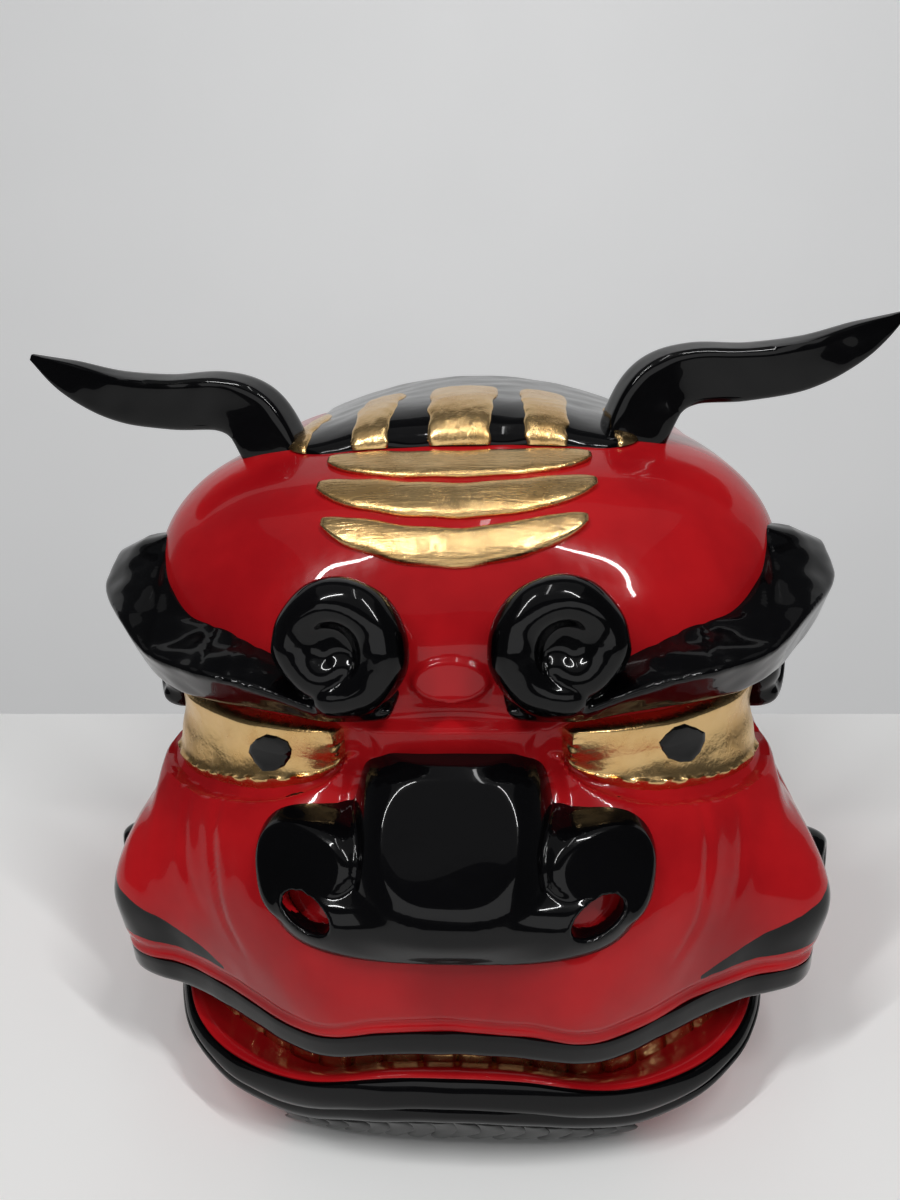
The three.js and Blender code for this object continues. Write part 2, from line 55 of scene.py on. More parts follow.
HEAD_BACK = 180.0
JOWL_Z = 48.0
JOWL_Y = -30.0
WAIST_Z = 200.0
CROWN_Z = 316.0
LIP_HEIGHT = 13.0
CAP_RISE, CAP_ARCH, CAP_HALF, CAP_FRONT, CAP_CORNER = 17.0, 250.0, 96.0, 30.0, 26.0
JAW_BACK = 70.0
SEAT_GAP = 0.3  # between a seated piece and the head
FRONT_SHARE = 0.72  # how much of each half of a section is its rounded front
MUZZLE_REACH = (50, 100)  # x at which the muzzle's swell starts to fade, and over how much
FAR = 400.0  # stands for the front surface where there is none
SECTION_COLUMNS = ("z", "half", "front", "mid", "power", "muzzle", "rear")
HEAD_SECTIONS = (
    (44, 175, -84, -30, 4.0, 38, 172),
    (68, 177, -91, -30, 5.0, 42, 174),
    (86, 182, -93, -32, 5.0, 45, 176),
    (106, 184, -92, -32, 5.0, 46, 177),
    (130, 175, -88, -26, 4.0, 44, 177),
    (150, 162, -83, -12, 3.2, 36, 176),
    (166, 153, -78, 2, 2.7, 24, 175),
    (177, 150, -74, 8, 2.5, 14, 174),
    (189, 147, -72, 12, 2.4, 11, 173),
    (205, 149, -73, 18, 2.4, 11, 172),
    (221, 157, -75, 26, 2.4, 8, 170),
    (241, 166, -73, 34, 2.3, 4, 167),
    (262, 168, -64, 42, 2.2, 0, 162),
    (284, 158, -46, 52, 2.1, 0, 150),
    (301, 136, -16, 62, 2.0, 0, 128),
    (312, 98, 24, 72, 2.0, 0, 94),
    (316, 40, 52, 84, 2.0, 0, 40),
)
JAW_SECTIONS = (
    (0, 147, -110, 10, 3, 0, 147),
    (8, 152, -117, 10, 3, 0, 150),
    (24, 156, -127, 10, 3, 0, 150),
    (42, 157, -135, 10, 3, 0, 150),
    (64, 157, -137, 10, 3, 0, 150),
)
NOSE_BLOCK = (
    (126, 57, -140, -70, 2.6, 0, 57),
    (140, 55, -147, -70, 2.8, 0, 55),
    (158, 50, -141, -70, 3, 0, 50),
    (177, 45, -127, -66, 3, 0, 45),
    (190, 41, -111, -62, 3, 0, 41),
    (196, 33, -99, -58, 3, 0, 33),
)
NOSE_BAND = (
    (118, 77, -133, -66, 3.2, 0, 77),
    (125, 86, -140, -66, 3.5, 0, 86),
    (138, 91, -142, -64, 3.5, 0, 91),
    (147, 91, -138, -62, 3.4, 0, 91),
    (151, 89.5, -132, -60, 3.2, 0, 89),
    (154, 87, -122, -58, 3.0, 0, 87),
)
LIP_LINE = ((0, 72), (30, 70), (62, 64.5), (100, 64.5), (145, 62), (200, 59))
JAW_LINE = ((0, 52), (32, 49), (72, 38), (112, 41), (200, 47))
# Raised edge of the jaw's rim
RIM_LINE = ((0, 57), (32, 55.5), (72, 46.5), (112, 45.5), (150, 46.5), (200, 47))
# Right brow seen from the front: its outline without the curl, in x and z
BROW_OUTLINE = (
    (150, 274), (172, 270), (190, 261), (193, 247), (188, 229), (177, 218), (163, 213), (132, 212),
    (92, 212.5), (64, 212), (42, 212), (27, 213), (22, 224), (18, 236), (18, 247), (40, 252), (70, 252),
    (80, 248), (94, 246.5), (112, 249), (128, 255), (140, 264),
)
BROW_CREST = (
    # x, y, z of the ridge between the brow's upper and lower faces
    (18, -97, 222), (50, -98, 220), (79, -95, 229), (95, -92, 233), (113, -87, 235), (136, -74, 236),
    (151, -62, 240), (166, -44, 246), (184, -16, 249), (196, 14, 252),
)
EAR_SET = {"right": (-7, 0, 5), "left": (4, 0, -3)}  # how each ear sits: outwards and up
EAR = (
    # x, y, z, wide, thick
    (98, 58, 295, 36, 26),
    (104, 58, 315, 38, 26),
    (114, 60, 331, 37, 25),
    (132, 63, 338, 33, 23),
    (162, 66, 338, 31, 21),
    (194, 69, 342, 29, 18),
    (222, 71, 353, 21, 12),
    (243, 72, 365, 4, 3),
)
BARS = ((-3, 64, 17, 21), (25, 70, 14, 24), (53, 69, 8, 24))  # mid, half, sag, high
STRIPES = ((-89, 7), (-48, 11.5), (0, 19), (46, 13), (89, 7))  # x, half
# Eye opening from its inner corner to the temple: x, lower edge, upper edge
EYE_EDGES = (
    (48, 194, 206.5),
    (53, 184, 209),
    (60, 178.5, 209),
    (70, 174.5, 208.5),
    (82, 171, 208),
    (100, 167, 206.5),
    (120, 163, 206),
    (136, 161.5, 206),
    (146, 162.5, 206),
)


# Working with rows and surfaces

def smooth(t):
    """0 to 1 with an easy start and end."""
    t = np.clip(t, 0.0, 1.0)
    return t * t * (3.0 - 2.0 * t)


def unit(v):
    """Vectors of length 1."""
    v = np.asarray(v, float)
    return v / np.maximum(np.linalg.norm(v, axis=-1, keepdims=True), 1e-9)


def circle(count):
    """Angles round a full circle."""
    return np.linspace(0, 2 * math.pi, count, endpoint=False)


def eased(count):
    """Places from -1 to 1 that lie closer together towards both ends."""
    return np.sin(np.linspace(-1, 1, count) * math.pi / 2)


def bell(x, width):
    """1 at zero, falling off over `width` to both sides."""
    return np.exp(-(x / width) ** 2)


def curve_through(values, s):
    """Catmull-Rom through evenly spaced values."""
    values = np.asarray(values, float)
    last = len(values) - 1
    i = np.clip(np.floor(s).astype(int), 0, last - 1)
    t = s - i
    a, b, c, d = (values[np.clip(i + k, 0, last)] for k in (-1, 0, 1, 2))
    into, out = (c - a) / 2, (d - b) / 2
    cube = 2 * b - 2 * c + into + out
    square = 3 * c - 3 * b - 2 * into - out
    return ((cube * t + square) * t + into) * t + b


def rows_through(table, count):
    """A table's columns, smoothed to `count` rows."""
    s = np.linspace(0, len(table) - 1, count)
    return np.stack([curve_through(column, s) for column in np.array(table, float).T], axis=1)


class Sections:
    """Horizontal sections of a carved form, read at any height."""

    def __init__(self, table):
        dense = rows_through(table, 2400)
        self.steps = {name: dense[:, k] for k, name in enumerate(SECTION_COLUMNS)}

    def at(self, z):
        return {name: np.interp(z, self.steps["z"], values) for name, values in self.steps.items()}

    def heights(self, low, count):
        """Heights from `low` to the top, spaced as the table's rows are."""
        z = self.steps["z"]
        first = np.searchsorted(z, low)
        picks = np.linspace(first, len(z) - 1, count)
        return np.interp(picks, np.arange(len(z)), z)

    @staticmethod
    def swell(row, x):
        """How far the muzzle stands out in front of the plain section."""
        start, over = MUZZLE_REACH
        return row["muzzle"] * (1 - smooth((np.abs(x) - start) / over))

    def place(self, turn, z, inset=0.0, back=HEAD_BACK):
        """Points at `turn`, from -1 at the left of the back round the front to 1 at the right."""
        row = self.at(z)
        angle = math.pi / 2 * (1 - np.clip(turn / FRONT_SHARE, -1, 1))
        c, s = np.cos(angle), np.maximum(np.sin(angle), 0)
        r = (np.abs(c) ** row["power"] + s ** row["power"]) ** (-1 / row["power"])
        half = row["half"] - inset
        x = half * r * c
        y = row["mid"] - (row["mid"] - row["front"] - inset) * r * s - self.swell(row, x)
        side = np.clip((np.abs(turn) - FRONT_SHARE) / (1 - FRONT_SHARE), 0, 1)
        x = x + np.sign(turn) * (row["rear"] - row["half"]) * smooth(side)
        y = y + (back - row["mid"]) * side
        return np.stack([x, y, np.broadcast_to(z, x.shape)], axis=-1)

    def front_y(self, x, z):
        """The front surface's y over x and z; far back where the form ends."""
        row = self.at(z)
        u = np.abs(x) / row["half"]
        curve = (1 - np.clip(u, 0, 1) ** row["power"]) ** (1 / row["power"])
        y = row["mid"] - (row["mid"] - row["front"]) * curve - self.swell(row, x)
        return np.where((u > 1) | (z > row["z"] + 0.5), FAR, y)


head_form = Sections(HEAD_SECTIONS)
jaw_form = Sections(JAW_SECTIONS)


def mirrored_line(table):
    """The height of a line over x, the same on both sides."""
    x, z = np.array(table, float).T
    s = np.linspace(0, len(x) - 1, 400)
    dense_x, dense_z = curve_through(x, s), curve_through(z, s)
    return lambda at: np.interp(np.abs(at), dense_x, dense_z)


lip_line = mirrored_line(LIP_LINE)
jaw_line = mirrored_line(JAW_LINE)
rim_line = mirrored_line(RIM_LINE)


def normals_of(grid):
    """Outward normals of a grid of points whose rows go up and columns go left to right."""
    return unit(np.cross(np.gradient(grid, axis=1), np.gradient(grid, axis=0)))


def face_point(x, z, lift):
    """Points on the head's face over x and z, lifted along the surface's normal."""
    step, steepest = 0.5, 6
    y = head_form.front_y(x, z)
    dx = (head_form.front_y(x + step, z) - head_form.front_y(x - step, z)) / (2 * step)
    dz = (head_form.front_y(x, z + step) - head_form.front_y(x, z - step)) / (2 * step)
    dx, dz = np.clip(dx, -steepest, steepest), np.clip(dz, -steepest, steepest)
    n = unit(np.stack([dx, -np.ones_like(dx), dz], axis=-1))
    return np.stack([x, y, np.broadcast_to(z, x.shape)], axis=-1) + n * np.asarray(lift)[..., None]


RIPPLE_WAVES, RIPPLE_PEAK = 6, 3.2


def ripple(p, size, seed):
    """A smooth, repeatable wave field over points, about -1 to 1, with waves of `size` mm."""
    rng = np.random.default_rng(seed)
    total = np.zeros(p.shape[:-1])
    for _ in range(RIPPLE_WAVES):
        way = unit(rng.normal(size=3))
        pitch = size * rng.uniform(0.7, 1.4)
        total += np.sin(p @ way * (2 * math.pi / pitch) + rng.uniform(0, 6.28))
    return total / RIPPLE_PEAK


def path_distance(x, z, points):
    """Distance in the x, z plane to a polyline, and how far along it, 0 to 1."""
    dense = rows_through(points, 60)
    best = np.full(np.shape(x), 1e9)
    along = np.zeros(np.shape(x))
    for k, (px, pz) in enumerate(dense):
        d = np.hypot(x - px, z - pz)
        closer = d < best
        best = np.where(closer, d, best)
        along = np.where(closer, k / (len(dense) - 1), along)
    return best, along


# Meshes

def grid_faces(rows, columns, wrap=False, offset=0):
    """Quads of a grid of points stored row by row."""
    i, j = np.meshgrid(np.arange(rows - 1), np.arange(columns if wrap else columns - 1), indexing="ij")
    k = (j + 1) % columns
    quads = np.stack([i * columns + j, i * columns + k, (i + 1) * columns + k, (i + 1) * columns + j], -1)
    return (quads.reshape(-1, 4) + offset).tolist()


def linked(name, data):
    """A new object in the scene."""
    made = bpy.data.objects.new(name, data)
    bpy.context.scene.collection.objects.link(made)
    return made


def shade_smooth(mesh):
    mesh.polygons.foreach_set("use_smooth", np.ones(len(mesh.polygons), bool))


def new_object(name, points, faces, sharp=None):
    """A mesh object at the origin from points in millimetres."""
    mesh = bpy.data.meshes.new(name)
    mesh.from_pydata((np.asarray(points, float) * MM).tolist(), [], faces)
    work = bmesh.new()
    work.from_mesh(mesh)
    bmesh.ops.remove_doubles(work, verts=work.verts, dist=1e-6)
    bmesh.ops.recalc_face_normals(work, faces=work.faces)
    work.to_mesh(mesh)
    work.free()
    shade_smooth(mesh)
    if sharp:
        mesh.set_sharp_from_angle(angle=math.radians(sharp))
    return linked(name, mesh)


def settle(piece, body, material, node):
    """Give a finished piece its material and its body, and hide the solid that it stands for."""
    if material:
        piece.data.materials.clear()
        piece.data.materials.append(material)
    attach(piece, body)
    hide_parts(node)


def mirror_object(piece, name):
    """A copy of a piece on the other side of the head."""
    mesh = piece.data.copy()
    mesh.name = name
    mesh.transform(Matrix.Diagonal((-1, 1, 1, 1)))
    mesh.flip_normals()
    return linked(name, mesh)


def settle_pair(right, material, node):
    """Settle a piece of the head's right side and its mirror image on the left."""
    left = mirror_object(right, right.name.replace("_right_", "_left_"))
    settle(right, "head", material, node + "_right")
    settle(left, "head", material, node + "_left")


def tube_faces(rings, around):
    """Quads round a swept ring, with a flat face at each end."""
    faces = grid_faces(rings, around, wrap=True)
    faces.append(list(range(around - 1, -1, -1)))
    faces.append([(rings - 1) * around + k for k in range(around)])
    return faces


def plate_between(top, bottom):
    """A closed plate between two grids of points."""
    rows, columns = top.shape[:2]
    n = rows * columns
    points = np.concatenate([top.reshape(-1, 3), bottom.reshape(-1, 3)])
    faces = grid_faces(rows, columns)
    faces += [[f[3] + n, f[2] + n, f[1] + n, f[0] + n] for f in faces]
    edge = list(range(columns))
    edge += [i * columns + columns - 1 for i in range(1, rows)]
    edge += [(rows - 1) * columns + j for j in range(columns - 2, -1, -1)]
    edge += [i * columns for i in range(rows - 2, 0, -1)]
    for a, b in zip(edge, edge[1:] + edge[:1]):
        faces.append([b, a, a + n, b + n])
    return points, faces


# Carving: distance fields cut to a mesh

def soft_min(a, b, blend):
    """The lesser of two fields, rounded over `blend` where they meet."""
    if blend <= 0:
        return np.minimum(a, b)
    h = np.clip(0.5 + 0.5 * (b - a) / blend, 0, 1)
    return b + (a - b) * h - blend * h * (1 - h)


def soft_max(a, b, blend):
    return -soft_min(-a, -b, blend)


OUTSIDE = 50.0  # distance to start from, well off every form
LOFT_SLOPE = 0.85  # how fast a lofted form's field grows, next to a true distance
RELAX_ROUNDS = 3


class Block:
    """A block of wood on a grid of voxels, carved with distance fields in millimetres."""

    def __init__(self, low, high, voxel):
        self.low, self.voxel = np.array(low, float), voxel
        count = np.ceil((np.array(high) - self.low) / voxel).astype(int) + 1
        axes = [self.low[k] + voxel * np.arange(count[k]) for k in range(3)]
        self.x, self.y, self.z = np.meshgrid(*axes, indexing="ij")
        self.field = np.full(self.x.shape, OUTSIDE)

    def points(self):
        return np.stack([self.x, self.y, self.z], -1)

    def add(self, other, blend=0.0):
        """Join another form on."""
        self.field = soft_min(self.field, other, blend)

    def keep(self, other, blend=0.0):
        """Carve away what lies outside another form."""
        self.field = soft_max(self.field, other, blend)

    def ball(self, centre, radii, power=2.0):
        q = [np.abs(v - c) / r for v, c, r in zip((self.x, self.y, self.z), centre, radii)]
        length = (q[0] ** power + q[1] ** power + q[2] ** power) ** (1 / power)
        return (length - 1) * min(radii)

    def plane(self, point, normal):
        n = unit(normal)
        return (self.x - point[0]) * n[0] + (self.y - point[1]) * n[1] + (self.z - point[2]) * n[2]

    def loft(self, table):
        """The field of a form given by horizontal sections."""
        form = Sections(table)
        row = form.at(self.z[0, 0, :])
        depth = row["mid"] - row["front"]
        u = np.abs(self.x) / row["half"]
        v = np.maximum(row["mid"] - self.y, 0) / depth
        rho = (u ** row["power"] + v ** row["power"]) ** (1 / row["power"])
        sides = (rho - 1) * np.minimum(row["half"], depth) * LOFT_SLOPE
        z = form.steps["z"]
        return np.maximum(sides, np.maximum(z[0] - self.z, self.z - z[-1]))

    def off_head(self, clear):
        """Positive inside the head, less a skin of `clear`."""
        return self.y - head_form.front_y(self.x, self.z) - clear

    def snail(self, path, radius, out, facing):
        """A tube that winds along a path, `radius` wide each way and `out` high each way along `facing`."""
        field = np.full(self.x.shape, OUTSIDE)
        f = unit(facing)
        for (px, py, pz), r, o in zip(path, radius, out):
            dx, dy, dz = self.x - px, self.y - py, self.z - pz
            high = dx * f[0] + dy * f[1] + dz * f[2]
            flat = dx * dx + dy * dy + dz * dz - high * high
            length = np.sqrt(np.maximum(flat, 0) / (r * r) + (high / o) ** 2)
            field = np.minimum(field, (length - 1) * min(r, o))
        return field

    def mesh(self, name, sharp):
        grid = openvdb.FloatGrid()
        grid.copyFromArray(self.field.astype(np.float32))
        points, triangles, quads = grid.convertToPolygons(isovalue=0.0, adaptivity=0.0)
        faces = [list(map(int, f)) for f in triangles] + [list(map(int, f)) for f in quads]
        made = new_object(name, points * self.voxel + self.low, faces, sharp)
        relax(made, RELAX_ROUNDS)
        return made


def relax(piece, rounds):
    """Ease the voxel steps out of a carved mesh."""
    work = bmesh.new()
    work.from_mesh(piece.data)
    for _ in range(rounds):
        bmesh.ops.smooth_vert(
            work, verts=work.verts, factor=0.5, use_axis_x=True, use_axis_y=True, use_axis_z=True
        )
    work.to_mesh(piece.data)
    work.free()


# Materials

def sum_of(operation, swap=False):
    """A method that works out one operation between a wire and another wire or number."""
    if swap:
        return lambda wire, other: wire._math(operation, other, wire)
    return lambda wire, other: wire._math(operation, wire, other)


class Wire:
    """A shader socket that takes part in Python arithmetic."""

    def __init__(self, board, socket):
        self.board, self.socket = board, socket

    def _math(self, operation, a, b=None):
        return self.board.node("ShaderNodeMath", {"operation": operation}, [a] if b is None else [a, b])

    def __abs__(self):
        return self._math("ABSOLUTE", self)

    __add__, __radd__ = sum_of("ADD"), sum_of("ADD", swap=True)
    __sub__, __rsub__ = sum_of("SUBTRACT"), sum_of("SUBTRACT", swap=True)
    __mul__, __rmul__ = sum_of("MULTIPLY"), sum_of("MULTIPLY", swap=True)
    __truediv__ = sum_of("DIVIDE")
    least = sum_of("MINIMUM")

    def step(self, low, high):
        """0 below `low`, 1 above `high`, smooth between."""
        settings = {"interpolation_type": "SMOOTHSTEP"}
        inputs = {"Value": self, "From Min": low, "From Max": high}
        return self.board.node("ShaderNodeMapRange", settings, inputs)


class Board:
    """A material's node tree with a Principled shader at its end."""

    def __init__(self, name, **constants):
        self.material = bpy.data.materials.new(name)
        self.material.use_nodes = True
        self.tree = self.material.node_tree
        self.tree.nodes.clear()
        self.shader = self.tree.nodes.new("ShaderNodeBsdfPrincipled")
        end = self.tree.nodes.new("ShaderNodeOutputMaterial")
        self.tree.links.new(self.shader.outputs[0], end.inputs[0])
        for key, value in constants.items():
            self.shader.inputs[key.replace("_", " ")].default_value = value

    def node(self, kind, settings=None, inputs=(), output=0):
        made = self.tree.nodes.new(kind)
        for key, value in (settings or {}).items():
            setattr(made, key, value)
        pairs = inputs.items() if isinstance(inputs, dict) else enumerate(inputs)
        for key, value in pairs:
            self.fill(made.inputs[key], value)
        return Wire(self, made.outputs[output])

    def fill(self, socket, value):
        """Link a wire to a socket, or set the socket to a plain value."""
        if isinstance(value, Wire):
            self.tree.links.new(value.socket, socket)
        else:
            socket.default_value = value

    def place(self):
        return self.node("ShaderNodeTexCoord", output="Object")

    def axes(self, vector):
        return [self.node("ShaderNodeSeparateXYZ", None, [vector], k) for k in range(3)]

    def noise(self, vector, scale, detail=3.0, rough=0.5, stretch=(1, 1, 1)):
        spread = self.node("ShaderNodeVectorMath", {"operation": "MULTIPLY"}, [vector, stretch])
        settings = {"noise_dimensions": "3D"}
        inputs = {"Vector": spread, "Scale": scale, "Detail": detail, "Roughness": rough}
        return self.node("ShaderNodeTexNoise", settings, inputs)

    def mix(self, factor, a, b):
        """Colour a, turning to colour b as the factor goes to 1."""
        a, b = (c if isinstance(c, Wire) else (*c, 1) for c in (a, b))
        return self.node("ShaderNodeMix", {"data_type": "RGBA"}, {0: factor, 6: a, 7: b}, 2)

    def feed(self, socket, wire):
        self.tree.links.new(wire.socket, self.shader.inputs[socket])

    def bump(self, height, distance, strength):
        inputs = {"Height": height, "Distance": distance, "Strength": strength}
        self.feed("Normal", self.node("ShaderNodeBump", None, inputs))


COAT = {"Coat_Roughness": 0.03, "Coat_IOR": 1.5, "IOR": 1.45, "Specular_IOR_Level": 0.06}
RED_COAT = {"rough": 0.10, "gloss": 0.38}
BLACK_COAT = {"rough": 0.08, "gloss": 0.42}


def lacquer(name, colour, deep, rough, gloss):
    """Thick brushed lacquer: a deep colour under a clear, slightly wavy gloss."""
    board = Board(name, Coat_Weight=gloss, **COAT)
    place = board.place()
    cloud = board.noise(place, 14.0, 4.0)
    speck = board.noise(place, 260.0, 2.0)
    board.feed("Base Color", board.mix(cloud.step(0.35, 0.7), colour, deep))
    board.feed("Roughness", rough + 0.12 * cloud + 0.05 * speck)
    wave = board.noise(place, 42.0, 2.0, 0.4)
    brush = board.noise(place, 115.0, 1.0, 0.4)
    board.bump(wave * 0.8 + brush * 0.22 + speck * 0.05, 0.0014, 0.5)
    return board


# Colours and sizes that a user would change

def colour_prop(name, description, default):
    return bpy.props.FloatVectorProperty(
        name=name, description=description, default=default, subtype="COLOR", min=0.0, max=1.0
    )


def length_prop(name, description, default):
    return bpy.props.FloatProperty(
        name=name, description=description, default=default * MM, unit="LENGTH", subtype="DISTANCE"
    )


def number_prop(name, description, default, **more):
    return bpy.props.FloatProperty(name=name, description=description, default=default, **more)


class LionFinish(bpy.types.PropertyGroup):
    """Colours of the lacquer, the leaf and the wood"""

    red: colour_prop("Red", "Lit red of the lacquer", (0.43, 0.008, 0.011))
    red_deep: colour_prop("Deep red", "Red where the lacquer lies thicker", (0.29, 0.004, 0.007))
    black: colour_prop("Black", "Black of the lacquer", (0.0016, 0.0015, 0.0019))
    black_deep: colour_prop("Deep black", "Black where the lacquer lies thicker", (0.0008, 0.0008, 0.001))
    gold: colour_prop("Gold", "Gold leaf, well covered", (0.76, 0.51, 0.23))
    gold_rubbed: colour_prop("Rubbed gold", "Gold leaf where it is thin", (0.60, 0.34, 0.11))
    wood: colour_prop("Wood", "Bare wood of the pegs", (0.33, 0.19, 0.085))


class LionSizes(bpy.types.PropertyGroup):
    """Sizes of the carving"""

    wall: length_prop("Wall", "Thickness of the carved wall", 12)
    lip_proud: length_prop("Lip", "How far the lips stand out", 3)
    bar_rise: length_prop("Bars", "Height of the forehead bars", 4)
    stripe_rise: length_prop("Stripes", "Height of the hair stripes", 1.1)
    tooth_pitch: length_prop("Tooth pitch", "Distance from one tooth to the next", 17)
    lock_pitch: length_prop("Lock pitch", "Distance from one beard lock to the next", 10.5)
    carving: length_prop("Carving step", "Fineness of the carved pieces", 1.0)


class LionStage(bpy.types.PropertyGroup):
    """Camera and studio"""

    distance: length_prop("Distance", "From the camera to the muzzle", 306)
    height: length_prop("Height", "Camera above the table", 400)
    azimuth: number_prop("Azimuth", "Camera's turn about the head", math.radians(5.7), unit="ROTATION")
    pitch: number_prop("Pitch", "Camera's downward tilt", math.radians(20), unit="ROTATION")
    roll: number_prop("Roll", "Camera's roll", math.radians(2.5), unit="ROTATION")
    yaw: number_prop("Yaw", "Camera's extra turn to its right", math.radians(1.02), unit="ROTATION")
    lens: number_prop("Lens", "Focal length in millimetres", 27.03)
    table: colour_prop("Table", "Pale floor", (0.90, 0.90, 0.89))
    wall: colour_prop("Wall", "Pale backdrop", (0.84, 0.84, 0.84))
    wall_glow: number_prop("Wall light", "Even light of the backdrop", 0.42)


def mm(value):
    """Metres in millimetres."""
    return value / MM


# Finishes

def kept(name, make):
    """A material by name, made once."""
    return bpy.data.materials.get(name) or make(name)


def red_lacquer(finish):
    def make(name):
        return lacquer(name, finish.red, finish.red_deep, **RED_COAT).material

    return kept("red_gloss", make)


# The black wedge painted on each cheek, in metres: where it starts, its length, and its upper and lower edges
WEDGE = {"start": 0.113, "length": 0.062, "top": (0.0885, 0.0215), "low": (0.0865, -0.004, 0.003)}
WEDGE_SHAKE = 0.003
WEDGE_BACK = -0.030
WEDGE_EDGE = 0.0006


def cheek_lacquer(finish):
    """Red lacquer with the black wedge that is painted on each cheek."""

    def make(name):
        board = lacquer(name, finish.red, finish.red_deep, **RED_COAT)
        place = board.place()
        x, y, z = board.axes(place)
        shake = (board.noise(place, 70.0, 2.0) - 0.5) * WEDGE_SHAKE
        out = abs(x)
        along = (out - WEDGE["start"]) / WEDGE["length"]
        high, climb = WEDGE["top"]
        deep, fall, curve = WEDGE["low"]
        top = high + along * climb
        low = deep + along * fall + along * along * curve
        inside = (top - z + shake).least(z - low + shake).least(out - WEDGE["start"])
        front = (WEDGE_BACK - y).step(0.0, 0.001)
        mask = inside.step(0.0, WEDGE_EDGE) * front
        base = board.shader.inputs["Base Color"].links[0].from_socket
        board.feed("Base Color", board.mix(mask, Wire(board, base), finish.black))
        return board.material

    return kept("red_gloss_with_wedges", make)


def black_lacquer(finish):
    def make(name):
        return lacquer(name, finish.black, finish.black_deep, **BLACK_COAT).material

    return kept("black_gloss", make)


def gold_leaf(finish, name="bar_gold", streak=(9.0, 90.0, 140.0)):
    """Gold leaf over lacquer: brushed streaks, thin rubbed places and soft dents."""

    def make(label):
        board = Board(label, Metallic=1.0, IOR=1.5)
        place = board.place()
        brushed = board.noise(place, 6.0, 4.0, 0.6, streak)
        patch = board.noise(place, 38.0, 4.0, 0.6)
        crumb = board.noise(place, 420.0, 2.0, 0.6)
        tone = board.mix(patch.step(0.38, 0.68) * 0.55, finish.gold, finish.gold_rubbed)
        scuff = (brushed * 0.7 + crumb * 0.3).step(0.60, 0.72) * 0.35
        board.feed("Base Color", board.mix(scuff, tone, finish.gold_rubbed))
        board.feed("Roughness", 0.14 + 0.15 * patch + 0.09 * brushed)
        board.bump(brushed * 0.5 + patch * 0.9 + crumb * 0.12, 0.0011, 0.55)
        return board.material

    return kept(name, make)


def bare_wood(finish):
    def make(name):
        board = Board(name, IOR=1.45)
        place = board.place()
        grain = board.noise(place, 30.0, 4.0, 0.6, (0.12, 1, 1))
        pores = board.noise(place, 300.0, 2.0, 0.5, (0.08, 1, 1))
        dark = [c * 0.5 for c in finish.wood]
        board.feed("Base Color", board.mix(grain.step(0.4, 0.65), finish.wood, dark))
        board.feed("Roughness", 0.5 + 0.2 * pores)
        board.bump(grain + pores * 0.4, 0.0006, 0.4)
        return board.material

    return kept("peg_wood", make)


# The red head

def turn_where(form, z, axis, value):
    """The turn on the right side at which a section reaches an x or y."""
    turns = np.linspace(0, 1, 1500)
    points = form.place(turns, z)
    return float(np.interp(value, points[:, axis], turns))


# Relief of the face; heights, depths and widths in millimetres
OVAL = {"half": 17.5, "low": 219.0, "high": 238.0, "rise": 3.2}  # raised oval over the nose
HOLLOW = {"z": 214.5, "high": 4.5, "wide": 26, "depth": 2.6}  # under the oval
SHELF = {"top": 211, "low": 178, "half": 58, "rise": 5.0}  # between the eyes
LID = {"start": 42, "end": 168, "rise": 6.0, "fade": 17}  # swell under each eye
# Edge of the lid along the eye, in x and z
EYELID = (
    (40, 197), (48, 192.5), (53, 182.6), (60, 177), (70, 173), (82, 169.5), (100, 165.5), (120, 161.5),
    (136, 160), (150, 161),
)
# Pit in the head behind each nostril, and how far it lies inwards and below
NOSTRIL_PIT = {"x": 1.2, "z": 2.0, "depth": 8.0, "reach": 1.45, "ease": 0.4}
LIP_BEAD = {"at": 1.2, "wide": 2.0, "rise": 0.9}  # over the upper lip
LIP_GROOVE = {"at": 5.2, "wide": 1.6, "depth": 1.1}
CREASES = (
    # depth, width, path in x and z
    (1.7, 2.0, ((109, 164), (114, 150), (114, 136), (110, 120), (99, 105))),
    (0.9, 2.6, ((128, 160), (133, 146), (132, 130), (124, 114))),
    (1.2, 2.4, ((46, 214), (40, 207), (36, 199), (38, 190))),
)


